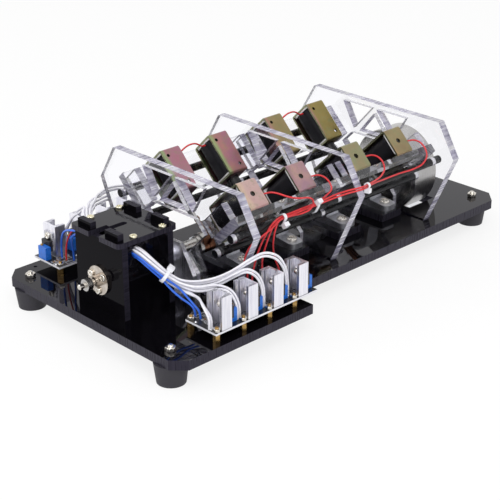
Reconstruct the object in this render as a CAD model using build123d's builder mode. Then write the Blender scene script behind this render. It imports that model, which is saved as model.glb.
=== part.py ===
"""Eight-coil V engine: a solenoid motor that shows how a crankshaft is driven by magnets.

Two banks of four solenoids stand in a right-angled V over one crankshaft. Each solenoid pulls
a plunger, a thin link turns the crank, and a flywheel keeps it going. A box at the front end
holds the magnet wheel and its sensors, and two driver boards switch the coils.

Frame: X runs along the crankshaft, with the flywheel at +X. Y runs across, with the near bank
at -Y. Z is up, and Z = 0 is the surface that the four feet stand on. X = 0 is the middle of
the whole length. All sizes are millimetres.
"""

import os
from math import asin, cos, degrees, pi, radians, sin, sqrt, tan

from build123d import *

NEAR, FAR = -1, 1
BANKS = {"near": NEAR, "far": FAR}

# --- clearances -----------------------------------------------------------------------------
running_gap = 0.05          # between a shaft, pin or plunger and its bore, on the radius
slip_gap = 0.1              # between a bolt, rod or tab and the hole it stands in
free_gap = 0.3              # between pieces that pass each other
glue_film = 0.02            # of cement between clear pieces that are glued

# --- base plate and feet --------------------------------------------------------------------
base_length = 394.0
base_front_width = 200.0
base_rear_width = 140.0
base_wide_length = 129.5    # of the wide part under the box and the driver boards
base_thickness = 7.5
base_front_chamfer = 10.0
base_rear_chamfer = 12.0
spare_hole_diameter = 3.0
spare_hole_inset_x = 24.0
spare_hole_inset_y = 7.0
shaft_overhang = 4.0        # of the free shaft end past the base
foot_height = 16.0
foot_top_diameter = 25.0
foot_bottom_diameter = 21.0
foot_edge_inset_x = 10.5
foot_edge_inset_y = 19.5
rear_foot_inset_x = 17.0
rear_foot_inset_y = 17.5
foot_screw_diameter = 4.0
foot_recess_gap = 1.0       # round a foot screw's head

base_front_x = shaft_overhang - (base_length + shaft_overhang) / 2
base_rear_x = base_front_x + base_length
base_step_x = base_front_x + base_wide_length
base_top = foot_height + base_thickness
foot_centres = [
    (base_front_x + foot_edge_inset_x, -(base_front_width / 2 - foot_edge_inset_y)),
    (base_front_x + foot_edge_inset_x, base_front_width / 2 - foot_edge_inset_y),
    (base_rear_x - rear_foot_inset_x, -(base_rear_width / 2 - rear_foot_inset_y)),
    (base_rear_x - rear_foot_inset_x, base_rear_width / 2 - rear_foot_inset_y),
]

# --- crank line -----------------------------------------------------------------------------
crank_height = 24.0         # of the crankshaft over the base plate
crank_throw = 5.0           # half of the plungers' stroke
journal_diameter = 8.0
crank_pin_diameter = 5.0
web_gap = 0.2               # between a link's big end and the web beside it
web_thickness = 3.0
web_hub_radius = 6.5
web_pin_radius = 4.5
cylinder_pitch = 49.5       # between the two crank pins of a bay
crank_phases = (0.0, 90.0, 270.0, 180.0)
rest_angle = -135.0         # of the first crank pin, from +Y towards +Z
bank_angle = 45.0           # of each bank from the vertical

crank_z = base_top + crank_height

# --- three clear plates ---------------------------------------------------------------------
plate_thickness = 7.0
front_plate_x = -110.5
middle_plate_x = -2.0
rear_plate_x = 110.0
plate_top_half = 68.0
plate_waist_half = 84.8
plate_foot_half = 57.6
plate_height = 88.0
plate_waist_height = 60.2
arch_half = 25.0
arch_shoulder = 13.4
channel_reach = 40.3        # of the plunger channel, out along each bank's axis
channel_outer_side = 7.8    # from a bank's axis to the channel's edge outside the V
channel_top = 57.0
window_top = 83.0
window_bottom = 61.5
window_outer = 34.0
window_inner = 2.5
window_apex = 21.5
centre_window_half = 15.0
centre_window_top = 79.0
centre_window_bottom = 60.5
plate_tab_width = 20.0
plate_tab_y = 41.0

# --- links and plungers ---------------------------------------------------------------------
link_length = 22.0          # between the crank pin and the wrist pin
link_big_radius = 4.5
link_ring_width = 4.8
link_cheek = 1.0
link_width = 4.0
link_end_reach = 2.8        # of a cheek past the wrist pin
wrist_pin_diameter = 2.0
tang_thickness = 2.4
tang_width = 5.0
tang_end_reach = 3.0        # of the tang past the wrist pin
tang_length = 14.0          # from the wrist pin to the plunger's round part
plunger_diameter = 8.0
plunger_length = 30.0
plunger_edge = 0.5
bank_offset = 2.75          # of a bank's cylinders from the middle of their crank pin

link_half = tang_thickness / 2 + free_gap + link_cheek
pin_half = bank_offset + link_half + web_gap
crank_half = pin_half + web_thickness

front_bay = (front_plate_x + plate_thickness + middle_plate_x) / 2
rear_bay = (middle_plate_x + plate_thickness + rear_plate_x) / 2
pin_stations = [bay + half * cylinder_pitch / 2 for bay in (front_bay, rear_bay) for half in (-1, 1)]

# --- solenoids ------------------------------------------------------------------------------
frame_outer_end = 74.6      # from the crank axis to the outer end plate
frame_length = 36.0
frame_height = 23.2
frame_width = 18.0
frame_steel = 1.5
frame_bend = 2.2
end_hole_diameter = 4.0
mounting_hole_diameter = 2.8
mounting_hole_x = 4.5       # of the two holes in a frame's back, from its middle
mounting_hole_reach = 12.0
bobbin_flange = 1.3
bobbin_tube_wall = 0.9
coil_corner = 6.5
guide_length = 7.4
guide_radius = 4.7
guide_rib_radius = 0.35
guide_ribs = 12

frame_inner_end = frame_outer_end - frame_length
winding_start = frame_inner_end + frame_steel + bobbin_flange
winding_end = frame_outer_end - frame_steel - bobbin_flange
bobbin_bore_radius = plunger_diameter / 2 + free_gap

# --- bank rails, posts and tie rods ---------------------------------------------------------
rail_thickness = 7.0
rail_inner_end = 45.0
rail_outer_end = 75.0
tie_rod_diameter = 6.5
tie_rod_gap = 1.0           # between a tie rod and its rail, for the straps round it
upper_rod_reach = 63.6
lower_rod_reach = 40.0
upper_rod_overhang = 7.0
post_thickness = 6.0
post_depth = 14.0
post_inner_end = 42.0
post_outer_end = 70.0
second_post_gap = 3.0

rail_inner_face = frame_height / 2 + free_gap
rail_outer_face = rail_inner_face + rail_thickness
rail_middle = (rail_inner_face + rail_outer_face) / 2
tie_rod_side = rail_outer_face + tie_rod_diameter / 2 + tie_rod_gap

# --- bearing blocks and bracket -------------------------------------------------------------
block_width = 14.0
block_length = 67.0
block_foot = 6.0
block_corner = 4.5          # radius of the ears' corners in the plan
block_ear_height = 4.5
block_dome_radius = 14.0
block_shaft_height = 18.0
block_waist = 32.0
block_bolt_spread = 52.0
block_bolt_diameter = 4.5
block_seat_depth = 1.2      # of a bolt's flat seat under the top of the foot
block_recess = 3.0          # of the dome's faces behind the bearing's inner ring
block_ring_radius = 8.0
block_gap = 0.3
platform_thickness = 6.0
platform_front_reach = 14.0 # of a platform in front of its block's middle
platform_rear_reach = 9.5
platform_width = 72.0
bracket_thickness = 3.4
bracket_top_half = 11.0
bracket_foot_half = 25.0
bracket_top = 35.0
bracket_shoulder = 12.7
bracket_foot_length = 13.0
bracket_foot_thickness = 3.0
bracket_hole_y = 19.0
bracket_screw_diameter = 3.0
boss_diameter = 14.0
boss_length = 3.0
bracket_x = front_plate_x - free_gap - bracket_thickness

platform_top = base_top + crank_height - block_shaft_height

# --- shaft line -----------------------------------------------------------------------------
front_shaft_diameter = 4.0
front_shaft_edge = 0.5
coupling_diameter = 14.0
coupling_length = 11.0
coupling_edge = 0.5
coupling_rear_gap = 1.0     # between the coupling and the bracket's boss
journal_grip = 5.0          # of the coupling on the crankshaft's end
thrust_collar_diameter = 10.0
thrust_collar_length = 3.0
thrust_collar_gap = 0.3     # between the thrust collar and the first web
front_collar_diameter = 9.0
front_collar_length = 4.5
front_collar_reach = 13.6   # of the set collar in front of the box
ring_groove_width = 0.5     # for the snap ring in front of the set collar
ring_groove_depth = 0.2
flywheel_radius = 35.0
flywheel_width = 26.5
flywheel_x = 130.0
flywheel_hub_radius = 9.0
flywheel_recess = 6.0
flywheel_rim = 6.0
flywheel_edge = 0.6
journal_rear_overhang = 3.0
slot_side_gap = 2.5
slot_end_gap = 6.0

coupling_x = bracket_x - boss_length - coupling_rear_gap - coupling_length
journal_front_x = coupling_x + coupling_length - journal_grip
journal_rear_x = flywheel_x + flywheel_width + journal_rear_overhang
flywheel_slot_half = sqrt(flywheel_radius ** 2 - crank_height ** 2) + slot_end_gap

# --- sensor box -----------------------------------------------------------------------------
box_inset = 15.0            # of the box from the base plate's front edge
box_length = 46.5
box_width = 53.0
box_wall = 5.0
box_height = 56.5
lid_thickness = 4.0
lid_overhang_x = 3.7
lid_overhang_y = 0.7
lid_corner = 3.0
tab_inner = 8.0
tab_outer = 22.5
tab_rise = 4.5
lid_slot_width = 12.0
lid_slot_length = 16.0
lid_slot_neck = 5.0
lid_slot_neck_length = 9.0
lid_screw_front_inset = 12.5
lid_screw_rear_inset = 2.5
lid_screw_diameter = 3.0
lead_hole_diameter = 10.0
lead_hole_inset = 13.3
lead_hole_drop = 6.5        # of the lead hole's middle under the lid
flange_radius = 11.0
flange_thickness = 2.0
flange_hub_radius = 4.6
flange_hub_length = 4.5
flange_screw_circle = 7.8
flange_screws = 3
flange_screw_angle = 27.0
magnet_wheel_radius = 13.0
magnet_wheel_width = 6.0
magnet_count = 4
magnet_radius = 2.0
magnet_depth = 2.0
magnet_rim = 1.0            # of the wheel outside its magnets
sensor_ring_inner = 15.0
sensor_ring_outer = 19.0
sensor_ring_width = 3.0
sensor_count = 8

box_front_x = base_front_x + box_inset
box_rear_x = box_front_x + box_length
front_collar_x = box_front_x - front_collar_reach
lid_top = base_top + box_height + lid_thickness
tab_length = tab_outer - tab_inner

# --- driver boards --------------------------------------------------------------------------
board_length = 99.8
board_width = 31.5
board_thickness = 1.6
board_side = 64.5           # from the centre plane to a board's inner edge
near_board_inset = 38.2     # of each board from the base plate's front edge
far_board_inset = 26.0
standoff_height = 6.3
standoff_across = 5.0
channel_count = 4
board_hole_inset_x = 3.1
board_hole_inset_y = 2.6
sink_height = 25.0
sink_depth = 15.0
sink_width = 9.4
sink_web = 2.0
sink_fin = 0.8
sink_fin_gap = 0.6
sink_edge_inset = 0.3
sink_nut_gap = 0.2
transistor_width = 10.0
transistor_height = 15.0
transistor_thickness = 4.4
transistor_body_height = 9.0
transistor_tab = 1.3
transistor_lift = 4.5
transistor_lead_pitch = 2.54
transistor_lead_width = 0.9
transistor_lead_thickness = 0.5
trimmer_length = 9.5
trimmer_width = 4.8
trimmer_height = 10.0
trimmer_gap = 0.2
trimmer_inset = 5.3
trimmer_edge_gap = 0.2      # between the last trimmer and the board's end
screw_head_ratio = 1.9      # a pan head's diameter over its thread's
screw_head_height = 0.62    # a pan head's height over its thread's diameter
nut_across_ratio = 1.75     # a nut's width across flats over its thread's diameter
nut_height_ratio = 0.8
thread_end_ratio = 0.4      # how far a thread stands out of its nut

board_bottom = base_top + standoff_height
board_top = board_bottom + board_thickness
near_board_x = base_front_x + near_board_inset
far_board_x = base_front_x + far_board_inset
channel_length = (standoff_across / 2 + sink_nut_gap + sink_width + transistor_thickness
                  + trimmer_gap + trimmer_width + trimmer_edge_gap)
channel_pitch = (board_length - board_hole_inset_x - channel_length) / (channel_count - 1)


# --- leads and straps -----------------------------------------------------------------------
white_lead_diameter = 1.8
blue_lead_diameter = 1.6
red_lead_diameter = 1.3
lead_bend_share = 0.45      # of the shorter run beside a corner, taken up by the corner's arc
strap_width = 2.5
strap_thickness = 0.7
strap_head_length = 4.6
strap_head_width = 4.2
strap_head_height = 3.4
lead_bundle_radius = 4.6   # of the white and blue leads together, inside their strap
coil_bundle_radius = 2.05   # of the red leads together, beside their tie rod
pair_bundle_radius = 1.7
coil_bundle_place = (-64.87, 79.87)
rod_strap_xs = (-61.0, -26.5)

# Each lead's own points, from the socket, hole or coil that it leaves to the board or coil
# that it reaches.
white_routes = {
    "near_a1": [
        (-166.7, -20.2, 76.5), (-166.3, -30.6, 75.7), (-161.9, -39.3, 68.4), (-156.1, -46.0, 60.3),
        (-150.0, -52.7, 54.5), (-141.2, -59.7, 53.2), (-131.6, -68.0, 55.3), (-121.2, -74.7, 60.0),
        (-110.6, -79.6, 66.6), (-98.4, -83.0, 70.2), (-87.1, -85.8, 64.9), (-80.4, -86.9, 53.9),
        (-78.2, -86.9, 42.1), (-78.2, -86.9, 31.4),
    ],
    "far_a1": [
        (-169.0, 19.8, 75.3), (-168.9, 28.2, 76.2), (-164.3, 37.3, 82.6), (-156.7, 45.0, 83.7),
        (-152.4, 55.1, 77.9), (-149.0, 64.7, 71.7), (-146.5, 73.8, 64.0), (-145.6, 81.3, 54.8),
        (-145.4, 86.7, 45.1), (-145.4, 87.3, 38.0), (-145.4, 87.3, 31.4),
    ],
    "near_a2": [
        (-164.4, -20.1, 75.6), (-164.1, -29.9, 74.8), (-160.3, -37.6, 67.7), (-154.7, -44.1, 59.6),
        (-148.7, -50.9, 53.6), (-140.1, -58.6, 50.7), (-130.1, -67.3, 53.0), (-119.8, -74.3, 58.0),
        (-109.4, -79.4, 64.4), (-98.6, -83.0, 67.8), (-88.9, -86.2, 63.1), (-82.6, -87.5, 53.1),
        (-80.6, -87.5, 41.9), (-80.6, -87.5, 31.4),
    ],
    "far_a2": [
        (-169.9, 20.1, 73.1), (-169.6, 29.3, 74.1), (-164.5, 38.5, 80.5), (-157.7, 45.2, 81.5),
        (-154.6, 54.3, 75.3), (-151.2, 63.9, 69.8), (-148.7, 73.2, 63.0), (-148.0, 80.7, 54.2),
        (-147.8, 86.1, 44.9), (-147.8, 86.7, 38.0), (-147.8, 86.7, 31.4),
    ],
    "near_b1": [
        (-163.5, -19.9, 73.3), (-163.4, -28.9, 72.7), (-160.3, -35.8, 66.0), (-154.9, -42.4, 57.8),
        (-148.5, -49.7, 51.5), (-140.0, -58.9, 48.6), (-131.3, -67.9, 51.1), (-122.6, -75.4, 57.0),
        (-113.4, -81.2, 62.2), (-105.9, -85.2, 56.0), (-103.4, -87.7, 47.1), (-103.2, -88.0, 39.0),
        (-103.2, -88.0, 31.4),
    ],
    "far_b1": [
        (-164.4, 20.2, 70.9), (-164.1, 28.8, 72.0), (-159.7, 35.7, 78.4), (-153.5, 41.8, 79.2),
        (-144.8, 48.9, 78.4), (-140.6, 59.3, 70.6), (-133.8, 69.6, 67.1), (-126.4, 79.7, 65.1),
        (-119.9, 86.8, 58.0), (-120.2, 88.5, 46.5), (-120.4, 88.5, 38.8), (-120.4, 88.5, 31.4),
    ],
    "near_b2": [
        (-165.7, -20.0, 73.3), (-165.5, -29.3, 72.7), (-162.1, -37.0, 66.0), (-156.5, -43.8, 57.8),
        (-150.1, -51.3, 51.5), (-141.0, -59.9, 46.6), (-130.5, -68.0, 48.9), (-121.0, -75.0, 55.0),
        (-113.6, -81.2, 59.8), (-108.1, -85.8, 55.0), (-105.8, -88.3, 46.9), (-105.6, -88.6, 39.0),
        (-105.6, -88.6, 31.4),
    ],
    "far_b2": [
        (-167.7, 20.0, 73.1), (-167.5, 28.8, 74.1), (-162.8, 37.1, 80.5), (-155.7, 44.3, 81.5),
        (-146.8, 51.7, 80.5), (-143.2, 60.7, 70.2), (-135.1, 70.1, 65.4), (-127.6, 79.3, 62.9),
        (-122.1, 86.2, 57.0), (-122.6, 87.9, 46.5), (-122.8, 87.9, 38.8), (-122.8, 87.9, 31.4),
    ],
    "near_c1": [
        (-169.0, -20.2, 75.6), (-168.6, -30.7, 74.8), (-164.2, -39.9, 67.7), (-158.1, -47.0, 59.6),
        (-152.0, -54.1, 53.6), (-144.4, -63.4, 50.8), (-134.3, -72.9, 53.5), (-128.3, -82.1, 50.5),
        (-127.8, -88.8, 41.9), (-127.8, -88.8, 31.4),
    ],
    "far_c1": [
        (-163.5, 19.9, 73.1), (-163.4, 27.7, 74.1), (-159.5, 34.5, 80.5), (-152.8, 41.1, 81.5),
        (-143.7, 48.8, 80.5), (-137.1, 60.1, 73.4), (-128.4, 69.3, 69.1), (-119.4, 77.9, 65.1),
        (-110.1, 84.4, 62.5), (-101.6, 87.6, 61.2), (-97.0, 87.9, 54.1), (-97.8, 87.9, 44.6),
        (-98.1, 87.9, 38.0), (-98.1, 87.9, 31.4),
    ],
    "near_c2": [
        (-167.7, -20.0, 73.3), (-167.5, -29.7, 72.7), (-163.9, -38.0, 66.0), (-158.1, -45.2, 57.8),
        (-151.6, -52.6, 51.5), (-143.9, -62.9, 47.0), (-133.4, -72.6, 50.1), (-131.3, -82.9, 50.5),
        (-130.8, -89.6, 42.1), (-130.8, -89.6, 31.4),
    ],
    "far_c2": [
        (-165.7, 20.0, 73.1), (-165.5, 28.2, 74.1), (-161.2, 35.9, 80.5), (-154.3, 42.7, 81.5),
        (-145.2, 50.3, 80.5), (-137.1, 61.2, 75.6), (-127.9, 69.9, 71.9), (-118.6, 78.1, 67.9),
        (-109.5, 84.6, 65.5), (-100.0, 88.0, 63.8), (-94.2, 88.7, 54.9), (-95.0, 88.7, 44.4),
        (-95.1, 88.7, 38.0), (-95.1, 88.7, 31.4),
    ],
    "near_d1": [
        (-164.4, -19.8, 71.0), (-164.4, -28.3, 70.6), (-161.8, -35.1, 64.3), (-156.5, -42.0, 56.0),
        (-149.3, -50.0, 49.5), (-145.7, -62.2, 45.0), (-149.3, -72.1, 45.9), (-152.9, -80.1, 44.7),
        (-152.8, -87.1, 39.4), (-152.8, -87.1, 31.4),
    ],
    "far_d1": [
        (-166.7, 19.6, 76.3), (-166.8, 27.4, 77.1), (-162.7, 35.6, 83.5), (-155.0, 43.5, 84.7),
        (-145.8, 51.2, 83.7), (-136.4, 59.7, 79.9), (-127.2, 68.6, 75.6), (-118.3, 77.4, 70.8),
        (-108.7, 85.5, 68.3), (-98.1, 89.2, 67.3), (-87.2, 89.4, 66.3), (-77.8, 88.8, 63.5),
        (-72.8, 88.1, 55.2), (-73.2, 88.0, 45.0), (-73.4, 88.0, 38.0), (-73.4, 88.0, 31.4),
    ],
    "near_d2": [
        (-166.7, -19.8, 70.1), (-166.7, -28.4, 69.7), (-164.1, -35.7, 63.6), (-158.5, -43.0, 55.3),
        (-151.5, -50.7, 48.7), (-148.2, -62.4, 46.2), (-150.2, -72.0, 48.3), (-154.7, -80.5, 46.5),
        (-155.4, -87.7, 39.8), (-155.4, -87.7, 31.4),
    ],
    "far_d2": [
        (-164.4, 19.7, 75.3), (-164.5, 27.2, 76.2), (-160.7, 34.5, 82.6), (-153.5, 41.8, 83.8),
        (-144.4, 49.4, 82.7), (-135.2, 58.7, 81.3), (-126.2, 68.3, 77.7), (-117.7, 77.6, 73.2),
        (-108.3, 85.5, 70.7), (-97.9, 89.2, 69.7), (-86.8, 89.6, 68.7), (-76.2, 89.2, 65.5),
        (-70.4, 88.7, 55.8), (-70.8, 88.6, 45.0), (-71.0, 88.6, 38.0), (-71.0, 88.6, 31.4),
    ],
}
blue_routes = {
    "near_1": [
        (-169.0, -19.9, 71.0), (-168.9, -29.1, 70.6), (-165.7, -37.4, 64.3), (-160.1, -44.5, 56.2),
        (-156.3, -50.5, 48.4), (-152.6, -56.9, 42.2), (-150.2, -61.0, 36.4), (-150.2, -61.0, 31.4),
    ],
    "far_1": [
        (-169.0, 19.9, 71.0), (-169.0, 28.8, 70.7), (-169.2, 38.1, 69.6), (-169.1, 47.4, 67.5),
        (-167.1, 56.6, 63.9), (-163.7, 65.3, 57.4), (-159.8, 72.3, 48.8), (-156.8, 77.4, 40.2),
        (-156.8, 77.4, 31.4),
    ],
    "near_2": [
        (-169.9, -20.1, 73.3), (-169.6, -30.1, 72.7), (-165.7, -39.2, 66.0), (-159.7, -46.6, 57.8),
        (-153.5, -53.7, 51.5), (-150.1, -59.3, 44.2), (-149.2, -65.9, 39.8), (-149.0, -71.6, 36.4),
        (-149.0, -71.6, 31.4),
    ],
    "far_2": [
        (-166.7, 19.9, 70.1), (-166.7, 28.6, 69.8), (-166.9, 37.0, 68.2), (-166.6, 45.3, 64.3),
        (-163.8, 53.3, 58.8), (-159.2, 60.5, 51.3), (-154.2, 66.0, 42.4), (-152.8, 67.6, 36.0),
        (-152.8, 67.6, 31.4),
    ],
}
red_routes = {
    "far_supply": [
        (-166.7, 20.0, 71.7), (-166.6, 28.9, 71.6), (-166.0, 37.7, 70.8), (-164.2, 45.8, 68.2),
        (-161.8, 54.4, 63.3), (-159.7, 62.3, 55.7), (-158.0, 68.6, 47.0), (-157.2, 71.2, 38.6),
        (-157.2, 71.2, 31.4),
    ],
    "near_coil_4": [
        (88.5, -51.2, 96.0), (92.7, -51.2, 96.0), (95.9, -54.4, 97.2), (97.6, -59.6, 96.6),
        (98.2, -65.4, 92.8), (96.4, -69.4, 86.6), (90.0, -70.0, 81.6), (80.0, -67.6, 79.4),
        (68.0, -66.4, 79.8), (55.0, -67.6, 80.6), (42.0, -70.4, 82.2), (29.0, -74.4, 84.8),
        (15.0, -79.8, 87.4), (1.8, -85.2, 89.6), (-7.6, -79.0, 87.6), (-14.0, -72.0, 83.8),
        (-20.8, -66.3, 80.2), (-32.0, -66.0, 79.9), (-43.0, -66.1, 80.1), (-54.0, -66.1, 79.9),
        (-66.0, -66.0, 79.9), (-76.0, -68.6, 76.8), (-85.0, -67.4, 73.2), (-92.4, -65.4, 67.4),
        (-97.0, -64.8, 59.2), (-99.0, -66.2, 50.0), (-99.4, -67.6, 40.8), (-99.4, -67.6, 31.4),
    ],
    "near_coil_3": [
        (39.0, -51.2, 96.0), (43.2, -51.2, 96.0), (46.4, -54.4, 97.2), (48.0, -59.4, 96.8),
        (48.0, -64.8, 93.8), (45.0, -69.4, 89.4), (37.0, -72.6, 87.0), (26.0, -76.0, 87.4),
        (14.0, -80.6, 89.4), (1.8, -85.0, 91.4), (-7.6, -78.6, 89.6), (-14.0, -71.2, 85.7),
        (-20.8, -65.5, 81.4), (-32.0, -64.8, 81.0), (-43.0, -65.0, 81.2), (-54.0, -65.0, 81.0),
        (-66.0, -64.8, 81.0), (-75.6, -67.0, 78.8), (-82.0, -66.6, 71.2), (-85.6, -64.6, 62.0),
        (-88.6, -63.8, 53.0), (-92.6, -65.2, 44.8), (-95.4, -67.4, 38.0), (-95.4, -67.4, 31.4),
    ],
    "near_coil_2": [
        (-21.8, -51.2, 96.0), (-17.6, -51.2, 96.0), (-14.4, -54.4, 97.2), (-12.8, -59.6, 96.8),
        (-12.4, -64.8, 93.8), (-13.4, -68.6, 89.2), (-17.8, -65.9, 84.2), (-24.6, -63.3, 79.7),
        (-32.0, -63.8, 79.9), (-43.0, -64.0, 80.1), (-54.0, -64.0, 79.9), (-66.0, -63.8, 79.9),
        (-74.4, -66.4, 75.4), (-78.4, -66.0, 67.2), (-80.4, -64.4, 58.6), (-82.4, -64.2, 49.6),
        (-83.4, -66.4, 40.6), (-83.4, -66.4, 31.4),
    ],
    "near_coil_1": [
        (-71.2, -51.2, 96.0), (-67.0, -51.2, 96.0), (-63.8, -54.4, 97.2), (-60.6, -58.8, 96.6),
        (-56.2, -64.6, 94.2), (-49.2, -68.8, 92.2), (-41.6, -70.4, 91.4), (-36.4, -70.4, 88.8),
        (-34.6, -69.8, 84.0), (-37.4, -68.6, 79.6), (-44.5, -66.4, 78.0), (-54.0, -64.8, 78.7),
        (-66.0, -64.8, 78.8), (-71.4, -66.7, 73.6), (-72.6, -66.0, 65.0), (-70.8, -64.2, 56.6),
        (-68.4, -63.8, 48.4), (-66.6, -66.8, 40.0), (-66.6, -66.8, 31.4),
    ],
    "far_jumper_1": [
        (-65.75, 48.3, 98.9), (-61.5, 48.3, 98.9), (-57.8, 47.8, 101.9), (-53.0, 47.4, 103.9),
        (-47.0, 47.4, 103.9), (-42.2, 47.8, 101.9), (-38.5, 48.3, 98.9), (-34.25, 48.3, 98.9),
    ],
    "far_jumper_2": [
        (44.5, 48.3, 98.9), (48.75, 48.3, 98.9), (52.45, 47.8, 101.9), (57.25, 47.4, 103.9),
        (63.25, 47.4, 103.9), (68.05, 47.8, 101.9), (71.75, 48.3, 98.9), (76.0, 48.3, 98.9),
    ],
}


# --- planes ---------------------------------------------------------------------------------
def bank_axis_plane(side, x, reach):
    """Plane square to a bank's axis, at a distance from the crank: sketch X is X."""
    lean = radians(bank_angle)
    out = Vector(0, side * sin(lean), cos(lean))
    return Plane(Vector(x, 0, crank_z) + out * reach, x_dir=(1, 0, 0), z_dir=out)


def bank_side_plane(side, x):
    """Plane square to the crankshaft: sketch X runs out along the bank's axis.

    Sketch Y points away from the V on the near bank and into it on the far bank, so a
    distance t away from the V is drawn at -side * t.
    """
    lean = radians(bank_angle)
    return Plane((x, 0, crank_z), x_dir=(0, side * sin(lean), cos(lean)), z_dir=(1, 0, 0))


def cross_plane(x):
    """Plane square to the crankshaft: sketch X is Y, sketch Y is Z over the crank axis."""
    return Plane((x, 0, crank_z), x_dir=(0, 1, 0), z_dir=(1, 0, 0))


def plate_plane(x):
    """As cross_plane, with sketch Y counted from the base plate's top."""
    return Plane((x, 0, base_top), x_dir=(0, 1, 0), z_dir=(1, 0, 0))


def bank_x(side, station):
    """Where a bank's cylinder stands along the crankshaft."""
    return station + side * bank_offset


def save(shape, name):
    shape.label = name
    export_step(shape, f"parts/{name}.step")


def pan_screw(plane, thread, length):
    """Pan-head screw on a plane: the head stands on it and the shank goes down from it."""
    head_radius = thread * screw_head_ratio / 2
    head_height = thread * screw_head_height
    with BuildPart(mode=Mode.PRIVATE) as screw:
        with BuildSketch(plane):
            Circle(head_radius)
        extrude(amount=head_height)
        rims = screw.edges().filter_by(GeomType.CIRCLE)
        fillet(rims.sort_by(Axis(plane.origin, plane.z_dir))[-1], head_height / 2)
        with BuildSketch(plane):
            Circle(thread / 2 - slip_gap)
        extrude(amount=-length)
    return screw.part


# --- crank mechanism ------------------------------------------------------------------------
def pin_point(index):
    """Where a crank pin's axis stands at rest, as (Y, Z over the crank axis)."""
    angle = radians(rest_angle + crank_phases[index])
    return crank_throw * cos(angle), crank_throw * sin(angle)


def along_and_across(side, index):
    """The crank pin's place at rest along a bank's axis and across it (in sketch Y)."""
    lean = radians(bank_angle)
    pin_y, pin_z = pin_point(index)
    along = side * sin(lean) * pin_y + cos(lean) * pin_z
    across = -cos(lean) * pin_y + side * sin(lean) * pin_z
    return along, across


def wrist_reach(side, index):
    """How far out the wrist pin stands at rest: the slider-crank's own rule."""
    along, across = along_and_across(side, index)
    return along + sqrt(link_length ** 2 - across ** 2)


def make_crankshaft():
    """Journals, webs and pins of the four-throw crankshaft, one solid."""
    runs = [journal_front_x]
    for station in pin_stations:
        runs += [station - pin_half, station + pin_half]
    runs.append(journal_rear_x)
    with BuildPart() as crankshaft:
        for start, stop in zip(runs[::2], runs[1::2]):
            with BuildSketch(cross_plane(start)):
                Circle(journal_diameter / 2)
            extrude(amount=stop - start)
        for index, station in enumerate(pin_stations):
            pin_y, pin_z = pin_point(index)
            for web_x in (station - crank_half, station + pin_half):
                with BuildSketch(cross_plane(web_x)):
                    Circle(web_hub_radius)
                    with Locations((pin_y, pin_z)):
                        Circle(web_pin_radius)
                    make_hull()
                extrude(amount=web_thickness)
            with BuildSketch(cross_plane(station - pin_half)):
                with Locations((pin_y, pin_z)):
                    Circle(crank_pin_diameter / 2)
            extrude(amount=2 * pin_half)
        with BuildSketch(cross_plane(journal_front_x)):
            Circle(front_shaft_diameter / 2)
        extrude(amount=journal_grip, mode=Mode.SUBTRACT)
    save(crankshaft.part, "crankshaft")


def link_plane(side, index, x):
    """Plane with its origin on the crank pin and sketch X pointing at the wrist pin."""
    along, across = along_and_across(side, index)
    flat = bank_side_plane(side, x)
    lean = asin(-across / link_length)
    pin = flat.origin + flat.x_dir * along + flat.y_dir * across
    return Plane(pin, x_dir=flat.x_dir * cos(lean) + flat.y_dir * sin(lean), z_dir=flat.z_dir)


def make_link(name, side, index):
    """Forked link: a ring on the crank pin and two cheeks that carry the wrist pin's stubs."""
    middle = bank_x(side, pin_stations[index])
    with BuildPart() as link:
        with BuildSketch(link_plane(side, index, middle - link_ring_width / 2)):
            Circle(link_big_radius)
        extrude(amount=link_ring_width)
        for start in (middle - link_half, middle + link_half - link_cheek):
            with BuildSketch(link_plane(side, index, start)):
                Circle(link_big_radius)
                with Locations((link_length / 2, 0)):
                    Rectangle(link_length, link_width)
                with Locations((link_length, 0)):
                    Circle(link_end_reach)
            extrude(amount=link_cheek)
        with BuildSketch(link_plane(side, index, middle - link_half)):
            Circle(crank_pin_diameter / 2 + running_gap)
        extrude(amount=2 * link_half, mode=Mode.SUBTRACT)
    save(link.part, name)


def make_plunger(name, side, index):
    """Solenoid plunger with the flat tang that reaches down between the link's cheeks."""
    middle = bank_x(side, pin_stations[index])
    wrist = wrist_reach(side, index)
    tang = tang_length + tang_end_reach + plunger_diameter / 2
    with BuildPart() as plunger:
        with BuildSketch(bank_axis_plane(side, middle, wrist + tang_length)):
            Circle(plunger_diameter / 2)
        extrude(amount=plunger_length)
        chamfer(plunger.edges().filter_by(GeomType.CIRCLE), plunger_edge)
        with BuildSketch(bank_side_plane(side, middle - tang_thickness / 2)):
            with Locations((wrist - tang_end_reach + tang / 2, 0)):
                Rectangle(tang, tang_width)
            with Locations((wrist, 0)):
                Circle(wrist_pin_diameter / 2, mode=Mode.SUBTRACT)
        extrude(amount=tang_thickness)
    save(plunger.part, name)


def make_cylinders():
    for bank, side in BANKS.items():
        for index in range(len(pin_stations)):
            make_link(f"{bank}_link_{index + 1}", side, index)
            make_plunger(f"{bank}_plunger_{index + 1}", side, index)


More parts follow.
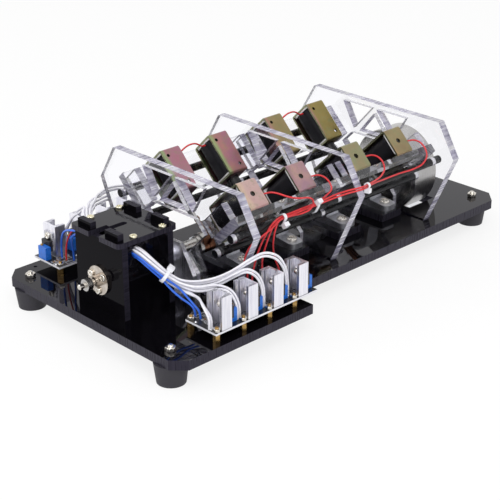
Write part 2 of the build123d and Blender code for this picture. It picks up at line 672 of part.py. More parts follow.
# --- base, feet and plates ------------------------------------------------------------------
def make_base_plate():
    """T-shaped black plate with cut corners, a flywheel slot and the tab and screw holes."""
    wide, narrow = base_front_width / 2, base_rear_width / 2
    with BuildPart() as base_plate:
        with BuildSketch(Plane.XY.offset(foot_height)):
            with BuildLine():
                Polyline(
                    (base_front_x, wide - base_front_chamfer),
                    (base_front_x + base_front_chamfer, wide),
                    (base_step_x, wide),
                    (base_step_x, narrow),
                    (base_rear_x - base_rear_chamfer, narrow),
                    (base_rear_x, narrow - base_rear_chamfer),
                    (base_rear_x, -narrow + base_rear_chamfer),
                    (base_rear_x - base_rear_chamfer, -narrow),
                    (base_step_x, -narrow),
                    (base_step_x, -wide),
                    (base_front_x + base_front_chamfer, -wide),
                    (base_front_x, -wide + base_front_chamfer),
                    close=True,
                )
            make_face()
            with Locations((flywheel_x + flywheel_width / 2, 0)):
                Rectangle(flywheel_width + 2 * slot_side_gap, 2 * flywheel_slot_half,
                          mode=Mode.SUBTRACT)
            for plate_x in (front_plate_x, middle_plate_x, rear_plate_x):
                with Locations((plate_x + plate_thickness / 2, -plate_tab_y),
                               (plate_x + plate_thickness / 2, plate_tab_y)):
                    Rectangle(plate_thickness + 2 * slip_gap, plate_tab_width + 2 * slip_gap,
                              mode=Mode.SUBTRACT)
            with Locations(*foot_centres):
                Circle(foot_screw_diameter / 2, mode=Mode.SUBTRACT)
            spare_x = base_front_x + spare_hole_inset_x
            spare_y = wide - spare_hole_inset_y
            with Locations((spare_x, -spare_y), (spare_x, spare_y)):
                Circle(spare_hole_diameter / 2, mode=Mode.SUBTRACT)
        extrude(amount=base_thickness)
    save(base_plate.part, "base_plate")


def make_feet():
    """Four tapered rubber feet, each with a recess under it for its screw's nut."""
    recess_radius = foot_screw_diameter * screw_head_ratio / 2 + foot_recess_gap
    with BuildPart() as rubber_feet:
        with BuildSketch(Plane.XY):
            with Locations(*foot_centres):
                Circle(foot_bottom_diameter / 2)
        taper = degrees(asin((foot_top_diameter - foot_bottom_diameter) / 2 / foot_height))
        extrude(amount=foot_height, taper=-taper)
        with BuildSketch(Plane.XY.offset(foot_height)):
            with Locations(*foot_centres):
                Circle(foot_screw_diameter / 2)
        extrude(amount=-foot_height, mode=Mode.SUBTRACT)
        with BuildSketch(Plane.XY):
            with Locations(*foot_centres):
                Circle(recess_radius)
        extrude(amount=foot_height / 2, mode=Mode.SUBTRACT)
    save(rubber_feet.part, "rubber_feet")


def make_foot_screws():
    """A pan screw through the plate and each foot, with a hexagon nut on the plate's top."""
    nut_across = foot_screw_diameter * nut_across_ratio
    nut_height = foot_screw_diameter * nut_height_ratio
    pieces = []
    for x, y in foot_centres:
        with BuildPart(mode=Mode.PRIVATE) as screw:
            with BuildSketch(Plane((x, y, base_top))):
                RegularPolygon(nut_across / 2, 6, major_radius=False)
            extrude(amount=nut_height)
            with BuildSketch(Plane((x, y, base_top + nut_height))):
                Circle(foot_screw_diameter / 2)
            extrude(amount=foot_screw_diameter * thread_end_ratio)
            with BuildSketch(Plane((x, y, base_top))):
                Circle(foot_screw_diameter / 2 - slip_gap)
            extrude(amount=-(base_thickness + foot_height / 2))
            with BuildSketch(Plane((x, y, foot_height / 2))):
                Circle(foot_screw_diameter * screw_head_ratio / 2)
            extrude(amount=-foot_screw_diameter * screw_head_height)
        pieces.append(screw.part)
    save(Compound(pieces), "foot_screws")


def make_plate(name, plate_x, rails_pass):
    """Clear six-sided plate: windows at the top, a crank arch that opens into both banks."""
    inward = arch_half + arch_shoulder
    outward = crank_height - channel_outer_side * sqrt(2)
    arch_y, arch_z = (inward - outward) / 2, (inward + outward) / 2
    lean = radians(bank_angle)
    corner_y = (channel_reach + channel_outer_side) * sin(lean)
    corner_z = crank_height + (channel_reach - channel_outer_side) * cos(lean)
    half_opening = [
        (arch_half, 0),
        (arch_half, arch_shoulder),
        (arch_y, arch_z),
        (corner_y, corner_z),
        (corner_y + corner_z - channel_top, channel_top),
    ]
    opening = half_opening + [(-y, z) for y, z in reversed(half_opening)]
    tab_points = [(side * plate_tab_y, -base_thickness / 2) for side in (NEAR, FAR)]
    with BuildPart() as plate:
        with BuildSketch(plate_plane(plate_x)):
            with BuildLine():
                Polyline(
                    (plate_foot_half, 0),
                    (plate_waist_half, plate_waist_height),
                    (plate_top_half, plate_height),
                    (-plate_top_half, plate_height),
                    (-plate_waist_half, plate_waist_height),
                    (-plate_foot_half, 0),
                    close=True,
                )
            make_face()
            with BuildLine():
                Polyline(*opening, close=True)
            make_face(mode=Mode.SUBTRACT)
            with Locations(*tab_points):
                Rectangle(plate_tab_width, base_thickness)
            for side in (NEAR, FAR):
                with BuildLine():
                    Polyline(
                        (side * window_inner, window_top),
                        (side * window_outer, window_top),
                        (side * window_apex, window_bottom),
                        close=True,
                    )
                make_face(mode=Mode.SUBTRACT)
            with BuildLine():
                Polyline(
                    (0, centre_window_top),
                    (centre_window_half, centre_window_bottom),
                    (-centre_window_half, centre_window_bottom),
                    close=True,
                )
            make_face(mode=Mode.SUBTRACT)
        extrude(amount=plate_thickness)
        for side in (NEAR, FAR):
            with BuildSketch(bank_side_plane(side, plate_x)):
                with Locations((upper_rod_reach, -side * tie_rod_side),
                               (lower_rod_reach, -side * tie_rod_side)):
                    Circle(tie_rod_diameter / 2 + slip_gap)
                if rails_pass:
                    with Locations(((rail_inner_end + rail_outer_end) / 2, -side * rail_middle)):
                        Rectangle(rail_outer_end - rail_inner_end + 2 * slip_gap,
                                  rail_thickness + 2 * slip_gap)
            extrude(amount=plate_thickness, mode=Mode.SUBTRACT)
    save(plate.part, name)


# --- banks ----------------------------------------------------------------------------------
def make_rails():
    """Clear rail under each bank, from the front plate through the middle one to the rear."""
    start = front_plate_x + plate_thickness + glue_film
    with BuildPart() as bank_rails:
        for side in (NEAR, FAR):
            with BuildSketch(bank_side_plane(side, start)):
                with Locations(((rail_inner_end + rail_outer_end) / 2, -side * rail_middle)):
                    Rectangle(rail_outer_end - rail_inner_end, rail_thickness)
            extrude(amount=rear_plate_x - glue_film - start)
    save(bank_rails.part, "bank_rails")


def make_posts():
    """Clear posts that stand on the rails beside the plates."""
    starts = [
        front_plate_x + plate_thickness + glue_film,
        middle_plate_x + plate_thickness + glue_film,
        middle_plate_x + plate_thickness + post_thickness + second_post_gap,
        rear_plate_x - glue_film - post_thickness,
    ]
    depth_middle = rail_inner_face - glue_film - post_depth / 2
    with BuildPart() as rail_posts:
        for side in (NEAR, FAR):
            for start in starts:
                with BuildSketch(bank_side_plane(side, start)):
                    with Locations(((post_inner_end + post_outer_end) / 2, -side * depth_middle)):
                        Rectangle(post_outer_end - post_inner_end, post_depth)
                extrude(amount=post_thickness)
    save(rail_posts.part, "rail_posts")


def make_tie_rods():
    """Four long black rods that draw the plates together."""
    start = front_plate_x
    with BuildPart() as tie_rods:
        for side in (NEAR, FAR):
            for reach, extra in ((upper_rod_reach, upper_rod_overhang), (lower_rod_reach, 0)):
                with BuildSketch(bank_side_plane(side, start)):
                    with Locations((reach, -side * tie_rod_side)):
                        Circle(tie_rod_diameter / 2)
                extrude(amount=rear_plate_x + plate_thickness + extra - start)
    save(tie_rods.part, "tie_rods")


def make_solenoid_frames(name, side):
    """Bent steel frames: a closed strip round each coil, open towards -X and +X."""
    mid = (frame_inner_end + frame_outer_end) / 2
    with BuildPart() as frames:
        for station in pin_stations:
            x = bank_x(side, station)
            with BuildSketch(bank_side_plane(side, x - frame_width / 2)):
                with Locations((mid, 0)):
                    RectangleRounded(frame_length, frame_height, frame_bend)
                    RectangleRounded(frame_length - 2 * frame_steel, frame_height - 2 * frame_steel,
                                     frame_bend - frame_steel, mode=Mode.SUBTRACT)
            extrude(amount=frame_width)
            with BuildSketch(bank_axis_plane(side, x, frame_outer_end)):
                Circle(end_hole_diameter / 2)
            extrude(amount=-2 * frame_steel, mode=Mode.SUBTRACT)
            with BuildSketch(bank_axis_plane(side, x, frame_inner_end - frame_steel)):
                Circle(bobbin_bore_radius + bobbin_tube_wall)
            extrude(amount=3 * frame_steel, mode=Mode.SUBTRACT)
            back = bank_axis_plane(side, x, mid)
            back_face = Plane(back.origin - back.y_dir * side * frame_height / 2,
                              x_dir=(1, 0, 0), z_dir=-back.y_dir * side)
            with BuildSketch(back_face):
                with Locations((-mounting_hole_x, side * mounting_hole_reach),
                               (mounting_hole_x, -side * mounting_hole_reach)):
                    Circle(mounting_hole_diameter / 2)
            extrude(amount=-2 * frame_steel, mode=Mode.SUBTRACT)
    save(frames.part, name)


def make_coils():
    """Black-taped windings, rounded where they show at the open sides of the frames."""
    height = frame_height - 2 * frame_bend
    bore = bobbin_bore_radius + bobbin_tube_wall
    with BuildPart() as solenoid_coils:
        for side in (NEAR, FAR):
            for station in pin_stations:
                with BuildSketch(bank_axis_plane(side, bank_x(side, station), winding_start)):
                    RectangleRounded(frame_width, height, coil_corner)
                    Circle(bore, mode=Mode.SUBTRACT)
                extrude(amount=winding_end - winding_start)
    save(solenoid_coils.part, "solenoid_coils")


def make_bobbins():
    """White bobbins: a tube for the plunger and a flange at each end of the winding."""
    height = frame_height - 2 * frame_bend
    width = frame_width - 2 * free_gap
    tube = bobbin_bore_radius + bobbin_tube_wall
    start, stop = frame_inner_end + frame_steel, frame_outer_end - frame_steel
    with BuildPart() as coil_bobbins:
        for side in (NEAR, FAR):
            for station in pin_stations:
                x = bank_x(side, station)
                for flange_reach in (start, winding_end):
                    with BuildSketch(bank_axis_plane(side, x, flange_reach)):
                        RectangleRounded(width, height, frame_steel)
                    extrude(amount=bobbin_flange)
                with BuildSketch(bank_axis_plane(side, x, start)):
                    Circle(tube)
                extrude(amount=stop - start)
                with BuildSketch(bank_axis_plane(side, x, start)):
                    Circle(bobbin_bore_radius)
                extrude(amount=stop - start, mode=Mode.SUBTRACT)
    save(coil_bobbins.part, "coil_bobbins")


def make_guides():
    """Black ribbed bushes on the inner ends of the frames, where the plungers come out."""
    start = frame_inner_end - guide_length
    with BuildPart() as plunger_guides:
        for side in (NEAR, FAR):
            for station in pin_stations:
                x = bank_x(side, station)
                with BuildSketch(bank_axis_plane(side, x, start)):
                    Circle(guide_radius)
                    with PolarLocations(guide_radius, guide_ribs):
                        Circle(guide_rib_radius)
                    Circle(plunger_diameter / 2 + running_gap, mode=Mode.SUBTRACT)
                extrude(amount=guide_length)
    save(plunger_guides.part, "plunger_guides")


# --- bearings -------------------------------------------------------------------------------
def block_middles():
    """Where each bearing block's middle is along X: just behind a crank pin's rear web."""
    return [station + crank_half + block_gap + block_width / 2 for station in pin_stations]


def block_bolt_points():
    return [(x, side * block_bolt_spread / 2) for x in block_middles() for side in (NEAR, FAR)]


def make_pillow_blocks():
    """Cast bearing blocks: two flat ears, a domed housing and the bore for the journal."""
    foot_z = platform_top - crank_z
    ear_top = foot_z + block_ear_height
    dome_spring = (-block_dome_radius, 0)
    profile = [
        (-block_length / 2, foot_z),
        (-block_length / 2, ear_top),
        (-block_waist / 2 - block_foot / 2, foot_z + block_foot),
        (-block_waist / 2, foot_z + block_foot),
        dome_spring,
    ]
    half_width = block_width / 2
    with BuildPart() as pillow_blocks:
        for middle in block_middles():
            with BuildSketch(cross_plane(middle - half_width)):
                with BuildLine():
                    Polyline(*profile)
                    Polyline(*[(-y, z) for y, z in reversed(profile)])
                    Line(profile[0], (-profile[0][0], foot_z))
                    ThreePointArc(dome_spring, (0, block_dome_radius), (block_dome_radius, 0))
                make_face()
                Circle(journal_diameter / 2 + running_gap, mode=Mode.SUBTRACT)
            extrude(amount=block_width)
            ends = pillow_blocks.edges().filter_by(Axis.Z).filter_by(
                lambda e: abs(e.center().X - middle) < block_width)
            fillet(ends.group_by(lambda e: round(abs(e.center().Y), 2))[-1], block_corner)
            for face_x, way in ((middle - half_width, 1), (middle + half_width, -1)):
                with BuildSketch(cross_plane(face_x)):
                    Circle(block_dome_radius - block_recess)
                    Circle(block_ring_radius, mode=Mode.SUBTRACT)
                extrude(amount=way * block_recess, mode=Mode.SUBTRACT)
        with BuildSketch(Plane.XY.offset(platform_top)):
            with Locations(*block_bolt_points()):
                Circle(block_bolt_diameter / 2)
        extrude(amount=block_foot, mode=Mode.SUBTRACT)
        with BuildSketch(Plane.XY.offset(platform_top + block_foot - block_seat_depth)):
            with Locations(*block_bolt_points()):
                Circle(block_bolt_diameter * screw_head_ratio / 2 + slip_gap)
        extrude(amount=block_foot, mode=Mode.SUBTRACT)
    save(pillow_blocks.part, "pillow_blocks")


def make_pillow_bolts():
    """Pan screws down through the ears of the bearing blocks into the platforms."""
    seat = block_foot - block_seat_depth
    bolts = [
        pan_screw(Plane((x, y, platform_top + seat)), block_bolt_diameter,
                  seat + platform_thickness)
        for x, y in block_bolt_points()
    ]
    save(Compound(bolts), "pillow_bolts")


def make_platforms():
    """Black slabs that lift the bearing blocks to the crank line."""
    with BuildPart() as bearing_platforms:
        with BuildSketch(Plane.XY.offset(base_top)):
            shift = (platform_rear_reach - platform_front_reach) / 2
            with Locations(*[(middle + shift, 0) for middle in block_middles()]):
                Rectangle(platform_front_reach + platform_rear_reach, platform_width)
            with Locations(*block_bolt_points()):
                Circle(block_bolt_diameter / 2, mode=Mode.SUBTRACT)
        extrude(amount=platform_thickness)
    save(bearing_platforms.part, "bearing_platforms")


def bracket_screw_points():
    x = bracket_x - bracket_foot_length / 2
    return [(x, side * bracket_hole_y) for side in (NEAR, FAR)]


def make_bracket():
    """Bent aluminium bracket in front of the front plate, with the first bearing's boss."""
    rest = base_top - crank_z
    with BuildPart() as shaft_bracket:
        with BuildSketch(cross_plane(bracket_x)):
            with BuildLine():
                Polyline(
                    (-bracket_foot_half, rest),
                    (bracket_foot_half, rest),
                    (bracket_foot_half, rest + bracket_shoulder),
                    (bracket_top_half, rest + bracket_top),
                    (-bracket_top_half, rest + bracket_top),
                    (-bracket_foot_half, rest + bracket_shoulder),
                    close=True,
                )
            make_face()
        extrude(amount=bracket_thickness)
        with BuildSketch(Plane.XY.offset(base_top)):
            with Locations((bracket_x - bracket_foot_length / 2, 0)):
                Rectangle(bracket_foot_length, 2 * bracket_foot_half)
            with Locations(*bracket_screw_points()):
                Circle(bracket_screw_diameter / 2, mode=Mode.SUBTRACT)
        extrude(amount=bracket_foot_thickness)
        with BuildSketch(cross_plane(bracket_x)):
            Circle(boss_diameter / 2)
        extrude(amount=-boss_length)
        with BuildSketch(cross_plane(bracket_x - boss_length)):
            Circle(journal_diameter / 2 + running_gap)
        extrude(amount=bracket_thickness + boss_length, mode=Mode.SUBTRACT)
    save(shaft_bracket.part, "shaft_bracket")


# --- shaft line -----------------------------------------------------------------------------
def make_front_shaft():
    """Thin shaft from the crankshaft's end, through the box, to its free end at the front."""
    tip_x = base_front_x - shaft_overhang
    with BuildPart() as front_shaft:
        with BuildSketch(cross_plane(tip_x)):
            Circle(front_shaft_diameter / 2)
        extrude(amount=journal_front_x + journal_grip - tip_x)
        chamfer(front_shaft.edges().filter_by(GeomType.CIRCLE).sort_by(Axis.X)[0],
                front_shaft_edge)
        with BuildSketch(cross_plane(front_collar_x)):
            Circle(front_shaft_diameter / 2)
            Circle(front_shaft_diameter / 2 - ring_groove_depth, mode=Mode.SUBTRACT)
        extrude(amount=-ring_groove_width, mode=Mode.SUBTRACT)
    save(front_shaft.part, "front_shaft")


def make_coupling():
    """Clamp coupling over the joint between the thin shaft and the crankshaft."""
    with BuildPart() as shaft_coupling:
        with BuildSketch(cross_plane(coupling_x)):
            Circle(coupling_diameter / 2)
        extrude(amount=coupling_length)
        chamfer(shaft_coupling.edges().filter_by(GeomType.CIRCLE), coupling_edge)
        with BuildSketch(cross_plane(coupling_x)):
            Circle(front_shaft_diameter / 2)
        extrude(amount=coupling_length, mode=Mode.SUBTRACT)
        with BuildSketch(cross_plane(journal_front_x)):
            Circle(journal_diameter / 2)
        extrude(amount=journal_grip, mode=Mode.SUBTRACT)
    save(shaft_coupling.part, "shaft_coupling")


def make_collars():
    """Set collar outside the box and the black thrust collar in front of the first web."""
    first_web = pin_stations[0] - crank_half
    thrust_x = first_web - thrust_collar_gap - thrust_collar_length
    with BuildPart() as shaft_collars:
        with BuildSketch(cross_plane(front_collar_x)):
            Circle(front_collar_diameter / 2)
            Circle(front_shaft_diameter / 2, mode=Mode.SUBTRACT)
        extrude(amount=front_collar_length)
        with BuildSketch(cross_plane(thrust_x)):
            Circle(thrust_collar_diameter / 2)
            Circle(journal_diameter / 2, mode=Mode.SUBTRACT)
        extrude(amount=thrust_collar_length)
    save(shaft_collars.part, "shaft_collars")


def make_flywheel():
    """Turned steel flywheel with a dished rear face, keyed on the crankshaft's rear end."""
    inner = flywheel_radius - flywheel_rim
    with BuildPart() as flywheel:
        with BuildSketch(Plane((0, 0, crank_z), x_dir=(1, 0, 0), z_dir=(0, -1, 0))):
            with BuildLine():
                Polyline(
                    (flywheel_x, journal_diameter / 2),
                    (flywheel_x + flywheel_width, journal_diameter / 2),
                    (flywheel_x + flywheel_width, flywheel_hub_radius),
                    (flywheel_x + flywheel_width - flywheel_recess, flywheel_hub_radius),
                    (flywheel_x + flywheel_width - flywheel_recess, inner),
                    (flywheel_x + flywheel_width, inner),
                    (flywheel_x + flywheel_width, flywheel_radius),
                    (flywheel_x, flywheel_radius),
                    close=True,
                )
            make_face()
        revolve(axis=Axis((0, 0, crank_z), (1, 0, 0)))
        rims = flywheel.edges().filter_by(GeomType.CIRCLE).group_by(SortBy.RADIUS)[-1]
        chamfer(rims, flywheel_edge)
    save(flywheel.part, "flywheel")


# --- sensor box -----------------------------------------------------------------------------
def make_box_walls():
    """Front and rear walls with two lid tabs each, and the side walls between them."""
    half = box_width / 2
    for name, start in (("box_front_wall", box_front_x), ("box_rear_wall", box_rear_x - box_wall)):
        with BuildPart() as wall:
            with BuildSketch(plate_plane(start)):
                with Locations((0, box_height / 2)):
                    Rectangle(box_width, box_height)
                tab_height = lid_thickness + tab_rise
                with Locations(*[(side * (tab_inner + tab_outer) / 2, box_height + tab_height / 2)
                                 for side in (NEAR, FAR)]):
                    Rectangle(tab_length, tab_height)
                with Locations((0, crank_height)):
                    Circle(front_shaft_diameter, mode=Mode.SUBTRACT)
            extrude(amount=box_wall)
        save(wall.part, name)
    inner_length = box_length - 2 * box_wall
    with BuildPart() as side_walls:
        for side in (NEAR, FAR):
            with BuildSketch(Plane((0, side * (half - box_wall / 2) + box_wall / 2, base_top),
                                   x_dir=(1, 0, 0), z_dir=(0, -1, 0))):
                with Locations(((box_front_x + box_rear_x) / 2, box_height / 2)):
                    Rectangle(inner_length, box_height)
                with Locations((box_front_x + lead_hole_inset, box_height - lead_hole_drop)):
                    Circle(lead_hole_diameter / 2, mode=Mode.SUBTRACT)
            extrude(amount=box_wall)
    save(side_walls.part, "box_side_walls")


def lid_screw_points():
    y = box_width / 2 - box_wall / 2
    return [(x, side * y) for side in (NEAR, FAR)
            for x in (box_front_x + lid_screw_front_inset,
                      box_rear_x - box_wall - lid_screw_rear_inset)]


def make_lid():
    """Lid with rounded corners, slots for the wall tabs and a stepped slot from its front."""
    length = box_length + 2 * lid_overhang_x
    front = box_front_x - lid_overhang_x
    with BuildPart() as box_lid:
        with BuildSketch(Plane.XY.offset(base_top + box_height)):
            with Locations(((box_front_x + box_rear_x) / 2, 0)):
                RectangleRounded(length, box_width + 2 * lid_overhang_y, lid_corner)
            for wall_x in (box_front_x + box_wall / 2, box_rear_x - box_wall / 2):
                with Locations(*[(wall_x, side * (tab_inner + tab_outer) / 2)
                                 for side in (NEAR, FAR)]):
                    Rectangle(box_wall + 2 * slip_gap, tab_length + 2 * slip_gap,
                              mode=Mode.SUBTRACT)
            with Locations((front + lid_slot_length / 2, 0)):
                Rectangle(lid_slot_length, lid_slot_width, mode=Mode.SUBTRACT)
            with Locations((front + lid_slot_length + lid_slot_neck_length / 2, 0)):
                SlotOverall(2 * lid_slot_neck_length, lid_slot_neck, mode=Mode.SUBTRACT)
            with Locations(*lid_screw_points()):
                Circle(lid_screw_diameter / 2, mode=Mode.SUBTRACT)
        extrude(amount=lid_thickness)
    save(box_lid.part, "box_lid")


def make_front_flange():
    """Nickel flange bearing on the box's front wall, round hub outwards."""
    with BuildPart() as front_flange:
        with BuildSketch(cross_plane(box_front_x)):
            Circle(flange_radius)
            with PolarLocations(flange_screw_circle, flange_screws, start_angle=flange_screw_angle):
                Circle(lid_screw_diameter / 2, mode=Mode.SUBTRACT)
        extrude(amount=-flange_thickness)
        with BuildSketch(cross_plane(box_front_x - flange_thickness)):
            Circle(flange_hub_radius)
        extrude(amount=-flange_hub_length)
        with BuildSketch(cross_plane(box_front_x)):
            Circle(front_shaft_diameter / 2 + running_gap)
        extrude(amount=-(flange_thickness + flange_hub_length), mode=Mode.SUBTRACT)
    save(front_flange.part, "front_flange")


def make_box_screws():
    """Pan screws in the lid and in the front flange."""
    screws = [pan_screw(Plane((x, y, lid_top)), lid_screw_diameter, lid_thickness)
              for x, y in lid_screw_points()]
    face_x = box_front_x - flange_thickness
    for index in range(flange_screws):
        angle = radians(flange_screw_angle + index * 360 / flange_screws)
        place = (face_x, flange_screw_circle * cos(angle), crank_z + flange_screw_circle * sin(angle))
        plane = Plane(place, x_dir=(0, 1, 0), z_dir=(-1, 0, 0))
        screws.append(pan_screw(plane, lid_screw_diameter, flange_thickness))
    for x, y in bracket_screw_points():
        place = (x, y, base_top + bracket_foot_thickness)
        screws.append(pan_screw(Plane(place), bracket_screw_diameter, bracket_foot_thickness))
    save(Compound(screws), "box_screws")


def make_magnet_wheel():
    """Magnet wheel on the thin shaft inside the box: a hub disc with its magnets let in."""
    middle = (box_front_x + box_rear_x) / 2
    with BuildPart() as magnet_wheel:
        with BuildSketch(cross_plane(middle - magnet_wheel_width / 2)):
            Circle(magnet_wheel_radius)
            Circle(front_shaft_diameter / 2, mode=Mode.SUBTRACT)
        extrude(amount=magnet_wheel_width)
        with BuildSketch(cross_plane(middle - magnet_wheel_width / 2)):
            with PolarLocations(magnet_wheel_radius - magnet_rim - magnet_radius, magnet_count):
                Circle(magnet_radius)
        extrude(amount=magnet_depth, mode=Mode.SUBTRACT)
    save(magnet_wheel.part, "magnet_wheel")


def make_sensor_ring():
    """Ring on the rear wall's inside that holds the eight sensors round the magnet wheel."""
    middle = (box_front_x + box_rear_x) / 2
    wall_face = box_rear_x - box_wall
    with BuildPart() as sensor_ring:
        with BuildSketch(cross_plane(middle - sensor_ring_width)):
            Circle(sensor_ring_outer)
            Circle(sensor_ring_inner, mode=Mode.SUBTRACT)
        extrude(amount=wall_face - middle + sensor_ring_width)
        with BuildSketch(cross_plane(middle - sensor_ring_width)):
            with PolarLocations((sensor_ring_inner + sensor_ring_outer) / 2, sensor_count):
                Rectangle(sensor_ring_width / 2, sensor_ring_width)
        extrude(amount=-sensor_ring_width / 2)
    save(sensor_ring.part, "sensor_ring")


# --- driver boards --------------------------------------------------------------------------
def board_frames():
    """Each board's own plane: sketch X runs from its first channel, sketch Y to its outer edge.

    The far board is turned half round, so its channels run the other way along the base.
    """
    near = Plane((near_board_x, -board_side, board_top), x_dir=(1, 0, 0), z_dir=(0, 0, 1))
    far = Plane((far_board_x + board_length, board_side, board_top), x_dir=(-1, 0, 0),
                z_dir=(0, 0, 1))
    return {"near": near, "far": far}


def board_hole_points():
    """Standoff places on a board: one per channel at the outer edge, two at the inner edge."""
    xs = [board_hole_inset_x + index * channel_pitch for index in range(channel_count)]
    outer = [(x, -(board_width - board_hole_inset_y)) for x in xs]
    inner = [(x, -board_hole_inset_y) for x in (xs[0], board_length - board_hole_inset_x)]
    return outer + inner


def make_boards():
    for bank, plane in board_frames().items():
        with BuildPart() as board:
            with BuildSketch(plane):
                with Locations((board_length / 2, -board_width / 2)):
                    Rectangle(board_length, board_width)
                with Locations(*board_hole_points()):
                    Circle(lid_screw_diameter / 2, mode=Mode.SUBTRACT)
            extrude(amount=-board_thickness)
        save(board.part, f"{bank}_driver_board")


def sink_start(index):
    """Where a channel's heat sink starts along its board, clear of the nut beside it."""
    return board_hole_inset_x + index * channel_pitch + standoff_across / 2 + sink_nut_gap


def make_heat_sinks():
    """Comb-shaped extrusions: a web with two fins at each end and a wide bay between them."""
    inner_side = -(board_width - sink_edge_inset) + sink_depth
    fins = [sink_fin / 2, 1.5 * sink_fin + sink_fin_gap]
    rows = [inner_side - fin for fin in fins]
    rows += [inner_side - sink_depth + fin for fin in fins]
    with BuildPart() as heat_sinks:
        for plane in board_frames().values():
            for index in range(channel_count):
                start = sink_start(index)
                web_middle = start + sink_width - sink_web / 2
                with BuildSketch(plane):
                    with Locations((web_middle, inner_side - sink_depth / 2)):
                        Rectangle(sink_web, sink_depth)
                    with Locations(*[(start + sink_width / 2, row) for row in rows]):
                        Rectangle(sink_width, sink_fin)
                extrude(amount=sink_height)
    save(heat_sinks.part, "heat_sinks")


def make_transistors():
    """Power transistors flat against the backs of the heat sinks, leads into the board."""
    middle = -(board_width - sink_edge_inset) + sink_depth / 2
    with BuildPart() as power_transistors:
        for plane in board_frames().values():
            for index in range(channel_count):
                back = sink_start(index) + sink_width
                raised = plane.offset(transistor_lift)
                with BuildSketch(raised):
                    with Locations((back + transistor_thickness / 2, middle)):
                        Rectangle(transistor_thickness, transistor_width)
                extrude(amount=transistor_body_height)
                with BuildSketch(raised):
                    with Locations((back + transistor_tab / 2, middle)):
                        Rectangle(transistor_tab, transistor_width)
                extrude(amount=transistor_height)
                with BuildSketch(plane):
                    with Locations(*[(back + transistor_thickness / 2,
                                      middle + row * transistor_lead_pitch)
                                     for row in (-1, 0, 1)]):
                        Rectangle(transistor_lead_thickness, transistor_lead_width)
                extrude(amount=transistor_lift)
    save(power_transistors.part, "power_transistors")


def make_trimmers():
    """Upright multi-turn trimmers, one beside each heat sink, with their brass screws."""
    with BuildPart() as trimmers:
        for plane in board_frames().values():
            for index in range(channel_count):
                start = sink_start(index) + sink_width + transistor_thickness + trimmer_gap
                middle = -(board_width - trimmer_inset - trimmer_length / 2)
                with BuildSketch(plane):
                    with Locations((start + trimmer_width / 2, middle)):
                        Rectangle(trimmer_width, trimmer_length)
                extrude(amount=trimmer_height)
    save(trimmers.part, "trimmers")


def make_standoffs():
    """Brass hexagon pillars that carry the boards over the base plate."""
    with BuildPart() as board_standoffs:
        for plane in board_frames().values():
            with BuildSketch(plane.offset(-board_thickness)):
                with Locations(*board_hole_points()):
                    RegularPolygon(standoff_across / 2, 6, major_radius=False, rotation=30)
            extrude(amount=-standoff_height)
    save(board_standoffs.part, "board_standoffs")


def make_board_nuts():
    """Hexagon nuts on the board's top, each with the end of its brass stud."""
    thread = lid_screw_diameter
    with BuildPart() as board_nuts:
        for plane in board_frames().values():
            with BuildSketch(plane):
                with Locations(*board_hole_points()):
                    RegularPolygon(standoff_across / 2, 6, major_radius=False, rotation=30)
            extrude(amount=thread * nut_height_ratio)
            with BuildSketch(plane.offset(-board_thickness)):
                with Locations(*board_hole_points()):
                    Circle(thread / 2 - slip_gap)
            extrude(amount=board_thickness + thread * (nut_height_ratio + thread_end_ratio))
    save(board_nuts.part, "board_nuts")


# --- leads and straps -----------------------------------------------------------------------
def lead_tube(points, diameter):
    """One round lead: straight runs with a tangent arc at each point between its ends."""
    spots = [Vector(*point) for point in points]
    runs = [stop - start for start, stop in zip(spots, spots[1:])]
    radii = [
        lead_bend_share * min(before.length, after.length)
        / tan(radians(before.get_angle(after)) / 2)
        for before, after in zip(runs, runs[1:])
    ]
    with BuildPart(mode=Mode.PRIVATE) as lead:
        with BuildLine() as route:
            FilletPolyline(*spots, radius=radii)
        with BuildSketch(Plane(spots[0], z_dir=runs[0])):
            Circle(diameter / 2)
        sweep()
    length = sum(edge.length for edge in route.edges())
    filled = lead.part.volume / (length * pi * diameter ** 2 / 4)
    print(f"lead {length:.0f} long, bends from {min(radii):.1f}, volume ratio {filled:.4f}")
    return lead.part


def make_leads(name, routes, diameter):
    """All the leads of one colour."""
    save(Compound([lead_tube(points, diameter) for points in routes.values()]), name)


def strap(plane, rounds, head_place, head_turn):
    """Nylon strap drawn round the circles given in its plane, with its head on the outside."""
    with BuildPart(mode=Mode.PRIVATE) as tie:
        for growth, mode in ((strap_thickness, Mode.ADD), (0, Mode.SUBTRACT)):
            with BuildSketch(plane.offset(-strap_width / 2)):
                for place, radius in rounds:
                    with Locations(place):
                        Circle(radius + growth)
                if len(rounds) > 1:
                    make_hull()
            extrude(amount=strap_width, mode=mode)
        with BuildSketch(plane.offset(-strap_head_length / 2)):
            with Locations(head_place):
                Rectangle(strap_head_width, strap_head_height, rotation=head_turn)
        extrude(amount=strap_head_length)
    return tie.part


